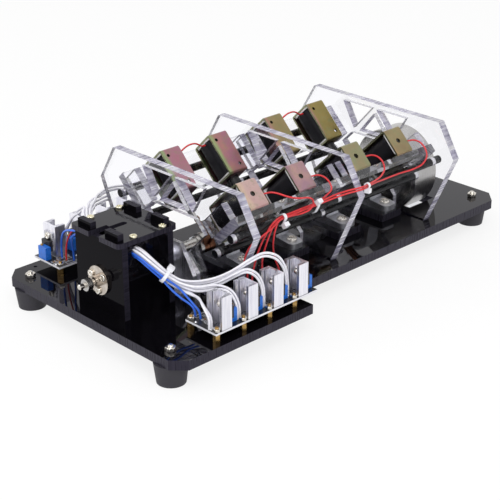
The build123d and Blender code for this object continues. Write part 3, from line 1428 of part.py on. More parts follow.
def make_straps():
    """Straps round the white leads, the red pair at the middle plate and the near tie rod."""
    lean = radians(bank_angle)
    rod_y = -(upper_rod_reach + tie_rod_side) * sin(lean)
    rod_z = (upper_rod_reach - tie_rod_side) * cos(lean)
    bundle_y, bundle_z = coil_bundle_place[0], coil_bundle_place[1] - crank_z
    rod_round = ((rod_y, rod_z), tie_rod_diameter / 2 + running_gap)
    bundle_round = ((bundle_y, bundle_z), coil_bundle_radius)
    side_head = ((rod_y + bundle_y) / 2 - 4.1, (rod_z + bundle_z) / 2 - 3.7)
    top_head = (bundle_y - 2.7, bundle_z + 2.9)
    leads_plane = Plane((-157.2, -44.6, 58.0), x_dir=(1.21, 1.018, 0), z_dir=(1.018, -1.21, -1.206))
    pair_plane = Plane((11.2, -81.3, 88.95), x_dir=(4.4, -12.7, 0), z_dir=(-12.7, -4.4, 2.1))
    straps = [
        strap(cross_plane(rod_strap_xs[0]), [rod_round, bundle_round], side_head, 133),
        strap(cross_plane(rod_strap_xs[1]), [rod_round, bundle_round], top_head, 133),
        strap(leads_plane, [((0, 0), lead_bundle_radius)], (1.5, 6.6), 0),
        strap(pair_plane, [((0, 0), pair_bundle_radius)], (0.8, -3.6), 0),
    ]
    save(Compound(straps), "zip_ties")


# --- everything -----------------------------------------------------------------------------
os.makedirs("parts", exist_ok=True)
make_base_plate()
make_feet()
make_foot_screws()
make_plate("front_plate", front_plate_x, rails_pass=False)
make_plate("middle_plate", middle_plate_x, rails_pass=True)
make_plate("rear_plate", rear_plate_x, rails_pass=False)
make_rails()
make_posts()
make_tie_rods()
make_solenoid_frames("near_solenoid_frames", NEAR)
make_solenoid_frames("far_solenoid_frames", FAR)
make_coils()
make_bobbins()
make_guides()
make_crankshaft()
make_cylinders()
make_pillow_blocks()
make_pillow_bolts()
make_platforms()
make_bracket()
make_front_shaft()
make_coupling()
make_collars()
make_flywheel()
make_box_walls()
make_lid()
make_front_flange()
make_box_screws()
make_magnet_wheel()
make_sensor_ring()
make_boards()
make_heat_sinks()
make_transistors()
make_trimmers()
make_standoffs()
make_board_nuts()
make_leads("white_leads", white_routes, white_lead_diameter)
make_leads("blue_leads", blue_routes, blue_lead_diameter)
make_leads("red_leads", red_routes, red_lead_diameter)
make_straps()
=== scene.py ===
"""Eight-coil V engine on a black base: the looks of every piece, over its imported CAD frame.

The frame is the CAD's: X runs along the crankshaft towards the flywheel, Y runs across with the
near bank at -Y, and Z = 0 is the surface that the feet stand on. Blender works in metres. Lengths
here are written in mm, and become metres where a mesh, a material or a curve is made.
"""

import math

import bpy
import numpy as np
from mathutils import Matrix, Vector


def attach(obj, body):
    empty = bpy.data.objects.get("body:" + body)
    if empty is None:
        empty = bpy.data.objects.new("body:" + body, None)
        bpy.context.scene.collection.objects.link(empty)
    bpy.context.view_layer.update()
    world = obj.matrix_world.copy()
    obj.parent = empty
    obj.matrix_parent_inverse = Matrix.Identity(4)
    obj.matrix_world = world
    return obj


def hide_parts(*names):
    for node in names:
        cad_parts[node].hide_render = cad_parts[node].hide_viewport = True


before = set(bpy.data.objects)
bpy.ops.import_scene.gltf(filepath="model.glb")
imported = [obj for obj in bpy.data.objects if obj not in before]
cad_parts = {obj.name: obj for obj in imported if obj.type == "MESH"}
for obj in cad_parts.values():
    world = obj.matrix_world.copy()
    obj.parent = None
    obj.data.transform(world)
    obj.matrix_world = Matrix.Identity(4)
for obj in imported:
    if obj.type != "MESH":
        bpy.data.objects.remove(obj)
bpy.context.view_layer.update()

# --- sizes shared by several pieces, in mm --------------------------------------------------
MM = 0.001           # in metres
CRANK_HEIGHT = 47.5  # of the shaft's axis over the ground
BASE_TOP = 23.5      # of the base plate over the ground


# --- colours and nodes ----------------------------------------------------------------------
def linear(code):
    """An sRGB hex colour as the linear values that the shaders take: a straight part near black,
    and the standard's power curve above it."""
    parts = [int(code[i:i + 2], 16) / 255 for i in (1, 3, 5)]
    light = [c / 12.92 if c <= 0.04045 else ((c + 0.055) / 1.055) ** 2.4 for c in parts]
    return (*light, 1.0)


def add(tree, kind, inputs=(), stops=(), **settings):
    """Adds a shader node with its settings and links. Its inputs come by name or number, or as a
    list in the node's own order. Each is a value, a hex colour, a socket, or a node whose first
    output is meant. The stops are a colour ramp's (place, colour) pairs."""
    made = tree.nodes.new("ShaderNode" + kind)
    for key, value in settings.items():
        setattr(made, key, value)
    pairs = inputs.items() if isinstance(inputs, dict) else enumerate(inputs)
    for key, value in pairs:
        if isinstance(value, bpy.types.Node):
            value = value.outputs[0]
        if isinstance(value, bpy.types.NodeSocket):
            tree.links.new(value, made.inputs[key])
        else:
            made.inputs[key].default_value = linear(value) if isinstance(value, str) else value
    if stops:
        elements = made.color_ramp.elements
        while len(elements) < len(stops):
            elements.new(0.5)
        for element, (where, colour) in zip(elements, stops):
            element.position = where
            element.color = linear(colour) if isinstance(colour, str) else colour
    return made


def blank(name):
    """A new material with nothing in it, and its node tree."""
    made = bpy.data.materials.new(name)
    made.use_nodes = True
    made.node_tree.nodes.clear()
    return made, made.node_tree


def coat(tree, inputs):
    """Closes a material: its one Principled shader, on its output."""
    add(tree, "OutputMaterial", [add(tree, "BsdfPrincipled", inputs)])


def grain(tree, size, detail=3.0, rough=0.55):
    """Soft grains fixed to the piece, from 0 to 1; size is their width in mm, or their width along
    X, Y and Z. Real grain is often finer than the view can show, so it is drawn wider, from about
    0.7 mm."""
    scale = 1 / (np.broadcast_to(size, 3) * MM)
    coordinates = add(tree, "TexCoord").outputs["Object"]
    placed = add(tree, "Mapping", {"Vector": coordinates, "Scale": scale.tolist()})
    return add(tree, "TexNoise", {"Vector": placed, "Scale": 1.0, "Detail": detail, "Roughness": rough})


GRAIN_RANGE = (0.3, 0.7)  # nearly all of a grain's values lie between these


def facing(tree, axis):
    """How squarely a face looks along an axis, from 0 to 1: the size of its normal along it."""
    normal = add(tree, "SeparateXYZ", [add(tree, "TexCoord").outputs["Normal"]])
    return add(tree, "Math", [normal.outputs[axis]], operation="ABSOLUTE")


def cut_edges(tree, axis):
    """1 on the cut edges of a sheet whose two faces look along an axis, and 0 on those faces."""
    return add(tree, "MapRange", [facing(tree, axis), 0.62, 0.38, 0.0, 1.0])


def edge_ribs(tree, axis, apart, long):
    """Ribs that a laser leaves on a sheet's cut edges, in mm: they run through the sheet."""
    return grain(tree, [long if letter == axis else apart for letter in "XYZ"], detail=2.0)


# --- materials ------------------------------------------------------------------------------
ACRYLIC_IOR = 1.49
BLACK_SHEEN = {"X": 0.05, "Y": 0.2, "Z": 0.24}  # each sheet's gloss, by the way that its faces look


def cast_black_acrylic(axis):
    """Cast acrylic sheet, mirror-polished from the mould, with faint smears of handling 71 mm wide.
    Its laser-cut edges are satin with ribs across the sheet, drawn 1.1 mm apart so that they show,
    and are painted a paler, violet grey: a painted reflection of the white room over the sheet's own
    black."""
    made, tree = blank(f"cast_black_acrylic_{axis.lower()}")
    edge = cut_edges(tree, axis)
    ribs = edge_ribs(tree, axis, apart=1.11, long=16.7)
    smear = grain(tree, 71.4, detail=4.0)
    # Painted reflection: the edges' paler violet grey stands in for the white room reflected in their
    # satin cut. The ribs in it are the edge's own.
    edge_tone = add(tree, "ValToRGB", [ribs], stops=((0.3, "#1F1D25"), (0.7, "#2D2B35")))
    tone = add(tree, "Mix", {0: edge, 6: "#08070A", 7: edge_tone}, data_type="RGBA")
    polish = add(tree, "MapRange", [smear, 0.35, 0.75, 0.015, 0.06])
    satin = add(tree, "MapRange", [ribs, *GRAIN_RANGE, 0.22, 0.4])
    coat(tree, {
        "Base Color": tone.outputs[2],
        "Roughness": add(tree, "Mix", {0: edge, 2: polish, 3: satin}),
        "IOR": ACRYLIC_IOR,
        "Specular IOR Level": BLACK_SHEEN[axis],
        "Specular Tint": "#D6D0EC"})
    return made


def cast_clear_acrylic(axis):
    """Clear cast acrylic. Its faces are polished and vanish; its laser-cut edges are frosted, with
    ribs drawn 2.4 mm apart and clouds 10 mm wide, and draw the outline in bright lavender grey with
    dark streaks."""
    made, tree = blank(f"cast_clear_acrylic_{axis.lower()}")
    edge = cut_edges(tree, axis)
    ribs = edge_ribs(tree, axis, apart=2.38, long=50.0)
    streaks = add(tree, "Math", [ribs, grain(tree, 10.53)], operation="MULTIPLY")
    edge_tone = add(tree, "ValToRGB", [streaks], stops=(
        (0.13, "#85819A"), (0.21, "#C4C0D6"), (0.3, "#ECEAF6"), (0.42, "#FBFAFF")))
    tone = add(tree, "Mix", {0: edge, 6: "#FCFCFF", 7: edge_tone}, data_type="RGBA")
    frost = add(tree, "MapRange", [ribs, *GRAIN_RANGE, 0.1, 0.34])
    coat(tree, {
        "Base Color": tone.outputs[2],
        "Roughness": add(tree, "Mix", {0: edge, 2: 0.0, 3: frost}),
        "IOR": ACRYLIC_IOR,
        "Transmission Weight": add(tree, "Mix", {0: edge, 2: 1.0, 3: 0.45})})
    return made


ROW_HALF = 120.0        # mm, the row of solenoid frames lies within this on both sides of X = 0
STEP_LEAD = 24.0        # mm, a frame's colour starts this far before its middle, in the gap
FRAME_HALF_WIDTH = 9.0  # mm, half of a solenoid frame along X
RAISE = 0.2             # m, lifts the frames' X over 0, because a ramp holds nothing below it


def by_frame(tree, x, middles, colours):
    """One colour for each frame of a row, as steps along X: place = (middle - lead + half) over the
    row's length."""
    along = add(tree, "MapRange", [x, -ROW_HALF * MM, ROW_HALF * MM, 0.0, 1.0])
    places = np.maximum((np.array(middles) - STEP_LEAD + ROW_HALF) / (2 * ROW_HALF), 0.0)
    made = add(tree, "ValToRGB", [along], stops=list(zip(places.tolist(), colours)))
    made.color_ramp.interpolation = "CONSTANT"
    return made


def passivated_zinc(name, tints):
    """Mild steel strip, zinc plated and yellow passivated. The thin film's thickness sets its colour,
    so each frame has its own tint that drifts over its face in patches 14 mm wide, a second tint on
    the end that faces -X, green flecks under 5 mm, and dull silver green on its sheared edges. The
    tints are (middle in mm, face, drift, end) for each frame, from -X to +X."""
    made, tree = blank(name)
    middles, faces, drifts, ends = zip(*tints)
    x = add(tree, "SeparateXYZ", [add(tree, "TexCoord").outputs["Object"]]).outputs["X"]

    patches = grain(tree, 14.3, detail=2.5, rough=0.5)
    skin = add(tree, "Mix", {
        0: add(tree, "MapRange", [patches, 0.4, 0.66, 0.0, 1.0]),
        6: by_frame(tree, x, middles, faces),
        7: by_frame(tree, x, middles, drifts)}, data_type="RGBA").outputs[2]

    # The end's tint reaches 0.5 to 3.5 mm round the corner, on a line that wanders by 3 mm.
    levels = [(middle - FRAME_HALF_WIDTH) * MM + RAISE for middle in middles]
    raised_starts = by_frame(tree, x, middles, [(level, level, level, 1.0) for level in levels])
    starts = add(tree, "Math", [add(tree, "SeparateColor", [raised_starts]), RAISE], operation="SUBTRACT")
    reach = add(tree, "Math", [x, starts], operation="SUBTRACT")
    wander = add(tree, "MapRange", [grain(tree, 35.7, detail=1.0), 0.35, 0.65, -3 * MM, 3 * MM])
    wavy = add(tree, "Math", [wander, reach], operation="ADD")
    skin = add(tree, "Mix", {
        0: add(tree, "MapRange", [wavy, 0.5 * MM, 3.5 * MM, 1.0, 0.0]),
        6: skin,
        7: by_frame(tree, x, middles, ends)}, data_type="RGBA").outputs[2]

    flecks = grain(tree, 4.76, detail=4.0, rough=0.7)
    skin = add(tree, "Mix", {
        0: add(tree, "MapRange", [flecks, 0.48, 0.68, 0.0, 0.42]),
        6: skin,
        7: "#7F8A66"}, data_type="RGBA").outputs[2]
    skin = add(tree, "Mix", {
        0: add(tree, "MapRange", [facing(tree, "X"), 0.5, 0.7, 0.0, 1.0]),
        6: skin,
        7: "#8A8C70"}, data_type="RGBA").outputs[2]

    etch = grain(tree, 1.54)
    coat(tree, {
        "Base Color": skin,
        "Metallic": 1.0,
        "Roughness": add(tree, "MapRange", [etch, *GRAIN_RANGE, 0.3, 0.42]),
        "Normal": add(tree, "Bump", {"Height": etch, "Distance": 0.04 * MM, "Strength": 0.5})})
    return made


def turned_steel(name):
    """Bright steel turned in a lathe. Rings of tool marks, 0.36 mm apart so that they show, run round
    the crankshaft's axis on the faces and the rims, and pull the highlight into arcs: they are noise
    of the distance from the axis and of X."""
    made, tree = blank(name)
    place = add(tree, "SeparateXYZ", [add(tree, "TexCoord").outputs["Object"]])
    rise = add(tree, "Math", [place.outputs["Z"], CRANK_HEIGHT * MM], operation="SUBTRACT")
    across = add(tree, "CombineXYZ", [place.outputs["Y"], rise])
    radius = add(tree, "VectorMath", [across], operation="LENGTH").outputs["Value"]
    along = add(tree, "CombineXYZ", [radius, place.outputs["X"]])
    marks_per_metre = 1 / (0.357 * MM)
    scale = (marks_per_metre, marks_per_metre, 0.0)
    scaled = add(tree, "VectorMath", [along, scale], operation="MULTIPLY")
    rings = add(tree, "TexNoise", {"Vector": scaled, "Scale": 1.0, "Detail": 2.0, "Roughness": 0.55})
    ring_tone = add(tree, "ValToRGB", [rings], stops=((0.3, "#8F8E8D"), (0.7, "#C9C8C6")))
    drift = grain(tree, 33.3, detail=2.0)
    tone = add(tree, "Mix", {0: drift, 6: ring_tone, 7: "#B9B7B4"}, data_type="RGBA")
    coat(tree, {
        "Base Color": tone.outputs[2],
        "Metallic": 1.0,
        "Roughness": add(tree, "MapRange", [rings, *GRAIN_RANGE, 0.2, 0.36]),
        "Normal": add(tree, "Bump", {"Height": rings, "Distance": 0.06 * MM, "Strength": 0.7})})
    return made


def circuit_board(name):
    """Glass-fibre board with a black solder mask: satin black faces over a faint weave, drawn 1.1 mm
    wide so that it shows, and a milled edge that shows the pale laminate."""
    made, tree = blank(name)
    edge = cut_edges(tree, "Z")
    weave = grain(tree, 1.11, detail=1.0)
    mask = add(tree, "ValToRGB", [weave], stops=((0.3, "#101113"), (0.7, "#191A1E")))
    tone = add(tree, "Mix", {0: edge, 6: mask, 7: "#E4E4EB"}, data_type="RGBA")
    coat(tree, {
        "Base Color": tone.outputs[2],
        "Roughness": add(tree, "Mix", {0: edge, 2: 0.28, 3: 0.7}),
        "IOR": 1.5})
    return made


METAL = {"Metallic": 1.0}


def grained(name, tones, width, roughness, relief=0.0, also=None):
    """A finish whose colour and roughness drift together between two values, over grains of a width
    in mm, or of a width along X, Y and Z. Relief is the grains' depth in mm, and also holds further
    inputs of the shader. The default IOR of 1.5 suits the plastics."""
    made, tree = blank(name)
    grains = grain(tree, width)
    inputs = {
        "Base Color": add(tree, "ValToRGB", [grains], stops=tuple(zip(GRAIN_RANGE, tones))),
        "Roughness": add(tree, "MapRange", [grains, *GRAIN_RANGE, *roughness])}
    if relief:
        inputs["Normal"] = add(tree, "Bump", {"Height": grains, "Distance": relief * MM, "Strength": 0.6})
    coat(tree, inputs | (also or {}))
    return made


BLACK_ACRYLIC = {axis: cast_black_acrylic(axis) for axis in "XYZ"}
CLEAR_ACRYLIC = {axis: cast_clear_acrylic(axis) for axis in "XYZ"}
NEAR_PASSIVATED = passivated_zinc("yellow_passivated_zinc_near", (
    (-80.25, "#C6A8A4", "#C09C9A", "#CDB2A2"),
    (-30.75, "#A68490", "#B6928E", "#A07C88"),
    (30.0, "#968A6C", "#8E9272", "#B09C7C"),
    (79.5, "#907F62", "#9A8C6A", "#A68C68")))
FAR_PASSIVATED = passivated_zinc("yellow_passivated_zinc_far", (
    (-74.75, "#A87280", "#A57886", "#92A078"),
    (-25.25, "#A26F7E", "#AE7F72", "#96A274"),
    (35.5, "#8E805A", "#9A8664", "#A87E78"),
    (85.0, "#887C4C", "#968452", "#A67A76")))
# Moulded rubber is matt with a bloom on its surface, so it reads as a soft violet grey.
RUBBER = grained("moulded_black_rubber", ("#26242B", "#2E2C34"), 4.55, (0.55, 0.72), 0.08)
# Bright nickel plate over steel is a near mirror, slightly warm.
NICKEL = grained("bright_nickel_plate", ("#C9C4BC", "#E2DED6"), 3.85, (0.08, 0.2), 0.02, METAL)
# Black winding tape is a satin polyester film with a faint weave of glue under it.
TAPE = grained("black_winding_tape", ("#131216", "#1B1A20"), 2.38, (0.42, 0.6), 0.06,
               {"Specular IOR Level": 0.18})
# Natural nylon is milky and waxy, so its thin flanges draw a pale line.
NYLON = grained("moulded_natural_nylon", ("#D9D8D8", "#EDECEC"), 3.33, (0.3, 0.45),
                also={"Subsurface Weight": 0.15, "Subsurface Radius": (1.0 * MM,) * 3})
# Drawn black tube is satin, with a long highlight.
BLACK_TUBE = grained("drawn_black_tube", ("#0C0C0F", "#141418"), 5.0, (0.18, 0.3),
                     also={"Specular IOR Level": 0.3})
# Die-cast zinc has a fine satin skin of pale grey.
CAST_ZINC = grained("die_cast_zinc", ("#A9AAB0", "#C6C7CC"), 1.43, (0.3, 0.45), 0.05, METAL)
# Extruded and cut aluminium, left bare: pale, satin, with faint lines along Z.
ALUMINIUM = grained("extruded_aluminium", ("#DEDEE9", "#FAF9FF"), (1.11, 1.11, 22.2), (0.25, 0.4),
                    0.03, METAL)
TURNED = turned_steel("turned_bright_steel")
# Yellow zinc plate on small screws is a pale straw mirror.
YELLOW_ZINC = grained("yellow_zinc_plate", ("#CFC7A6", "#EFEAD6"), 2.0, (0.12, 0.26), 0.02, METAL)
# Copper-rich brass strip, blanked and tumbled: warm, satin.
BRASS_STRIP = grained("blanked_brass_strip", ("#5A3628", "#94664C"), 2.0, (0.25, 0.42), 0.04, METAL)
BOARD = circuit_board("black_mask_circuit_board")
# Turned brass hexagon bar is yellow with a fine tool line.
BRASS_BAR = grained("turned_brass_bar", ("#8A6A38", "#C0A068"), (5.56, 5.56, 1.11), (0.16, 0.32),
                    0.03, METAL)
# Transistor bodies are moulded epoxy, matt black.
EPOXY = grained("moulded_black_epoxy", ("#151518", "#1E1E22"), 1.11, (0.4, 0.55), 0.03)
# Trimmer housings are glass-filled nylon in a strong mid blue.
BLUE_NYLON = grained("moulded_blue_nylon", ("#1763C6", "#2274DA"), 2.0, (0.28, 0.4))
# Flexible white PVC over the wire is smooth, a little waxy, and shows soft lavender in its shade.
WHITE_PVC = grained("white_pvc_lead", ("#E4E3EC", "#F4F3F9"), 3.33, (0.32, 0.44), 0.02,
                    {"Subsurface Weight": 0.1, "Subsurface Radius": (0.8 * MM,) * 3})
# Blue and red PVC over thin wire are strong, even colours with a soft shine.
BLUE_PVC = grained("blue_pvc_lead", ("#1F5CD2", "#3474E6"), 3.33, (0.3, 0.42), 0.02)
RED_PVC = grained("red_pvc_lead", ("#C81F26", "#E0333A"), 3.33, (0.28, 0.4), 0.02)
# Moulded nylon straps are milky, and their teeth are too fine to see beyond a faint grain across.
STRAP_NYLON = grained("moulded_nylon_strap", ("#E6E6EE", "#F6F6FA"), 1.43, (0.3, 0.45), 0.06)
# Tinned copper tabs are a soft silver, dulled by the solder bath.
TINNED = grained("tinned_copper", ("#AFAFB4", "#D2D2D6"), 1.43, (0.2, 0.36), 0.03, METAL)
# Printed legend ink stands white and matt on the solder mask.
LEGEND_INK = grained("white_legend_ink", ("#D9D9DC", "#EDEDF0"), 1.11, (0.55, 0.7))
# A chip part's body is fired ceramic, a matt brown.
CERAMIC = grained("fired_ceramic_chip", ("#6E5138", "#8A6A4A"), 0.667, (0.4, 0.55))
# The nickel on the turned flange is thin, so the brass under it warms the face.
THIN_NICKEL = grained("thin_nickel_on_brass", ("#A89D93", "#D8D0C6"), 6.25, (0.14, 0.3), 0.03, METAL)
# Machined white acetal of the magnet wheel and ring is a dull, even white.
ACETAL = grained("machined_white_acetal", ("#D0CFCC", "#E2E1DE"), 2.0, (0.3, 0.45), 0.03)

FINISHES = {
    "base_plate": BLACK_ACRYLIC["Z"],
    "box_lid": BLACK_ACRYLIC["Z"],
    "bearing_platforms": BLACK_ACRYLIC["Z"],
    "box_front_wall": BLACK_ACRYLIC["X"],
    "box_rear_wall": BLACK_ACRYLIC["X"],
    "box_side_walls": BLACK_ACRYLIC["Y"],
    "front_plate": CLEAR_ACRYLIC["X"],
    "middle_plate": CLEAR_ACRYLIC["X"],
    "rear_plate": CLEAR_ACRYLIC["X"],
    "rail_posts": CLEAR_ACRYLIC["X"],
    "bank_rails": CLEAR_ACRYLIC["Y"],
    "rubber_feet": RUBBER,
    "foot_screws": NICKEL,
    "pillow_bolts": NICKEL,
    "board_nuts": NICKEL,
    "front_shaft": NICKEL,
    "front_flange": THIN_NICKEL,
    "box_screws": YELLOW_ZINC,
    "near_solenoid_frames": NEAR_PASSIVATED,
    "far_solenoid_frames": FAR_PASSIVATED,
    "solenoid_coils": TAPE,
    "coil_bobbins": NYLON,
    "plunger_guides": BLACK_TUBE,
    "tie_rods": BLACK_TUBE,
    "pillow_blocks": CAST_ZINC,
    "shaft_bracket": ALUMINIUM,
    "heat_sinks": ALUMINIUM,
    "crankshaft": TURNED,
    "flywheel": TURNED,
    "shaft_collars": TURNED,
    "shaft_coupling": TURNED,
    "near_driver_board": BOARD,
    "far_driver_board": BOARD,
    "board_standoffs": BRASS_BAR,
    "power_transistors": EPOXY,
    "trimmers": BLUE_NYLON,
    "magnet_wheel": ACETAL,
    "sensor_ring": ACETAL,
    "white_leads": WHITE_PVC,
    "blue_leads": BLUE_PVC,
    "red_leads": RED_PVC,
    "zip_ties": STRAP_NYLON,
}
for node_name, node_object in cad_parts.items():
    if "_link_" in node_name:
        finish = BRASS_STRIP
    elif "_plunger_" in node_name:
        finish = TURNED
    else:
        finish = FINISHES[node_name]
    node_object.data.materials.clear()
    node_object.data.materials.append(finish)


# --- surfaces -------------------------------------------------------------------------------
SMOOTH_UNDER = 40.0  # degrees, faces that meet under this angle are shaded as one


def piece(name, points, faces, finish):
    """A mesh in metres from points in mm, which rides with the frame."""
    mesh = bpy.data.meshes.new(name)
    mesh.from_pydata((np.asarray(points) * MM).tolist(), [], faces)
    mesh.shade_smooth()
    mesh.set_sharp_from_angle(angle=math.radians(SMOOTH_UNDER))
    mesh.materials.append(finish)
    made = bpy.data.objects.new(name, mesh)
    bpy.context.collection.objects.link(made)
    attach(made, "frame")
    return made


def shells(name, grids, finish):
    """One piece from equal grids of points (copy, row, column, xyz): a row closes round to its own
    first point, and the first and last rows are filled by a fan from their middle."""
    grids = np.asarray(grids, float)
    copies, rows, columns = grids.shape[:3]
    poles = np.stack([grids[:, 0].mean(1), grids[:, -1].mean(1)], 1)
    points = np.concatenate([grids.reshape(-1, 3), poles.reshape(-1, 3)])
    number = np.arange(copies * rows * columns).reshape(copies, rows, columns)
    after = np.roll(number, -1, axis=2)
    quads = np.stack([number[:, :-1], after[:, :-1], after[:, 1:], number[:, 1:]], -1).reshape(-1, 4)
    pole = number.size + 2 * np.arange(copies)[:, None] + np.zeros((1, columns), int)
    bottom = np.stack([pole, after[:, 0], number[:, 0]], -1).reshape(-1, 3)
    top = np.stack([pole + 1, number[:, -1], after[:, -1]], -1).reshape(-1, 3)
    return piece(name, points, quads.tolist() + bottom.tolist() + top.tolist(), finish)


def around(sides, start=0.0):
    """Equal angles round a full turn, the first at a share of a step, and each one's direction as
    its cosine and sine."""
    angle = (np.arange(sides) + start) * 2 * np.pi / sides
    return angle, np.stack([np.cos(angle), np.sin(angle)], -1)


def stacked(rings, heights):
    """Flat rings (row, column, xy), each lifted to its own height."""
    heights = np.asarray(heights, float)[:, None, None]
    return np.concatenate([rings, np.broadcast_to(heights, (*rings.shape[:2], 1))], -1)


def turned(profile, sides=48):
    """Rings round Z: each (radius, height) of the profile times the cosine and sine of the angle."""
    radius, height = np.array(profile, float).T
    way = around(sides)[1]
    return stacked(radius[:, None, None] * way, height)


def stood(grid, origin, up=(0, 0, 1), across=(1, 0, 0)):
    """A grid turned so that its Z follows up and its X follows across, then moved to its origin."""
    up = np.array(up, float)
    across = np.array(across, float)
    return np.asarray(origin, float) + grid @ np.array([across, np.cross(up, across), up])


BLOCK_POINTS = 32  # round a block, 8 on each corner


def block(low, high, corner, bevel):
    """A block whose rows are rounded rectangles: the half size less the corner, by the sign of each
    direction, plus the corner's radius times the direction; the end rows are drawn in by the bevel."""
    low = np.array(low, float)
    high = np.array(high, float)
    middle = (low + high)[:2] / 2
    half = (high - low)[:2] / 2
    way = around(BLOCK_POINTS, start=0.5)[1]
    ring = np.sign(way) * (half - corner) + corner * way
    inset = np.array((bevel, 0, 0, bevel))[:, None, None]
    heights = (low[2], low[2] + bevel, high[2] - bevel, high[2])
    return stacked(middle + ring * (half - inset) / half, heights)


# The cross recess, in shares of the head's radius, and its depth as a share of the head's height.
RECESS_HALF_WIDTH = 0.13
RECESS_HALF_LENGTH = 0.52
RECESS_FLANK = 0.1
RECESS_DEPTH = 0.6


def in_recess(half_size, distance):
    """From 1 inside a recess's half size to 0 outside it, in a straight step as wide as its flank."""
    return np.clip((half_size - distance) / RECESS_FLANK + 0.5, 0, 1)


def cross_recess_screw(thread, shank):
    """A pan screw for a thread's diameter. Its shank and flat underside end in a rim that rounds over
    as a quarter ellipse, and its crown falls off as the square of the radius. Where the top lies in
    one of two crossed bars, it sinks to the recess's depth. The profile's radii are shares of the
    thread's diameter or the head's radius, and its heights are shares of the head's height."""
    head = 0.95 * thread
    height = 0.62 * thread
    stem = [(0.1 * thread, -shank), (0.48 * thread, -shank), (0.48 * thread, -0.02),
            (0.98 * head, 0.0), (head, 0.06 * height)]
    turn = np.linspace(0, np.pi / 2, 8)
    rim = np.stack([head * (0.72 + 0.28 * np.cos(turn)), height * (0.45 + 0.49 * np.sin(turn))], -1)
    reach = np.linspace(0.68, 0.04, 14)
    crown = np.stack([head * reach, height * (1 - 0.06 * (reach / 0.72) ** 2)], -1)
    grid = turned(np.concatenate([stem, rim, crown]), sides=64)

    top = grid[len(stem) + len(rim):]
    x = np.abs(top[..., 0]) / head
    y = np.abs(top[..., 1]) / head
    bars = np.maximum(in_recess(RECESS_HALF_WIDTH, y) * in_recess(RECESS_HALF_LENGTH, x),
                      in_recess(RECESS_HALF_WIDTH, x) * in_recess(RECESS_HALF_LENGTH, y))
    top[..., 2] -= bars * height * RECESS_DEPTH
    return grid


NUT_POINTS = 72
# A nut's rows: the share of its height, and a chamfering cone's radius over half its width. The last
# row lies inside the thread that stands out of the nut.
NUT_ROWS = np.array([(0, 0.96), (0.06, 1.02), (0.13, 1.2), (0.87, 1.2), (0.94, 1.02), (1, 0.96), (1, 0.5)])


def hexagon_nut(across, height):
    """A nut whose radius is the lesser of two: a hexagon's, half its width over the cosine of the
    angle from the nearest flat's middle, and that of a cone which cuts both ends by its chamfer."""
    sixth = np.pi / 3
    angle, way = around(NUT_POINTS)
    from_flat = np.abs(angle % sixth - sixth / 2)
    hexagon = across / 2 / np.cos(from_flat)
    cone = across / 2 * NUT_ROWS[:, 1, None]
    radius = np.minimum(hexagon, cone)
    return stacked(radius[..., None] * way, NUT_ROWS[:, 0] * height)


THREAD_POINTS = 24
ROWS_PER_PITCH = 6
THREAD_DEPTH = 0.06  # over the diameter
THREAD_TIP = 0.7     # of the radius, at the very end


def threaded_end(diameter, length, pitch):
    """A stud whose radius is cut by a thread, a cosine of height over pitch less the angle, and whose
    end draws in over the last half pitch."""
    depth = THREAD_DEPTH * diameter
    angle, way = around(THREAD_POINTS)
    height = np.linspace(0, length, int(length / pitch * ROWS_PER_PITCH))
    groove = depth * (1 - np.cos(2 * np.pi * height[:, None] / pitch - angle)) / 2
    taper = np.clip((length - height) / (pitch / 2), THREAD_TIP, 1)[:, None]
    radius = (diameter / 2 - groove) * taper
    return stacked(radius[..., None] * way, height)


# --- screws of the box, the bearings and the feet, in mm ------------------------------------
LID_TOP = 84.0
FLANGE_FACE = -182.0    # X of the flange's front
BRACKET_HOLES = -120.7  # X
BRACKET_TOP = 26.5      # of the bracket's foot
BEARING_TOP = 34.3      # of a bearing block's foot
FOOT_SEAT = 8.0         # Z where a screw's head bears inside a rubber foot
BEARING_MIDDLES = (-61.75, -12.25, 48.5, 98.0)  # X
FLANGE_SCREWS = ((6.95, 51.04), (-6.54, 51.75), (-0.41, 39.71))  # Y and Z, on a circle
FOOT_PLACES = ((-184.5, -80.5), (-184.5, 80.5), (182.0, -52.5), (182.0, 52.5))
SQUARE = (1, 0, 0)      # a head or nut that stopped square to the frame
ASKEW = (math.cos(0.5), math.sin(0.5), 0)  # and one that stopped half a radian further
FORWARDS = (-1, 0, 0)
BACKWARDS = (1, 0, 0)

lid_screw = cross_recess_screw(thread=3.0, shank=4.0)
lid_heads = shells("lid_screw_heads", [
    stood(lid_screw, (x, y, LID_TOP), across=turn)
    for x, turn in ((-167.5, ASKEW), (-141.0, SQUARE))
    for y in (-24.0, 24.0)], YELLOW_ZINC)
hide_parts("box_screws")

flange_screw = cross_recess_screw(thread=3.0, shank=2.0)
flange_heads = shells("flange_screw_heads", [
    stood(flange_screw, (FLANGE_FACE, y, z), up=FORWARDS, across=(0, math.cos(y), math.sin(y)))
    for y, z in FLANGE_SCREWS], NICKEL)
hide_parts("box_screws")

bracket_screw = cross_recess_screw(thread=3.0, shank=3.0)
bracket_heads = shells("bracket_screw_heads", [
    stood(bracket_screw, (BRACKET_HOLES, y, BRACKET_TOP))
    for y in (-19.0, 19.0)], NICKEL)
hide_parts("box_screws")

bearing_screw = cross_recess_screw(thread=4.5, shank=10.8)
bearing_heads = shells("bearing_screw_heads", [
    stood(bearing_screw, (x, y, BEARING_TOP), across=(math.cos(x), math.sin(x), 0))
    for x in BEARING_MIDDLES
    for y in (-26.0, 26.0)], NICKEL)
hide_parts("pillow_bolts")

foot_nut = hexagon_nut(across=7.0, height=3.2)
foot_nuts = shells("foot_nuts", [
    stood(foot_nut, (x, y, BASE_TOP), across=ASKEW)
    for x, y in FOOT_PLACES], NICKEL)
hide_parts("foot_screws")

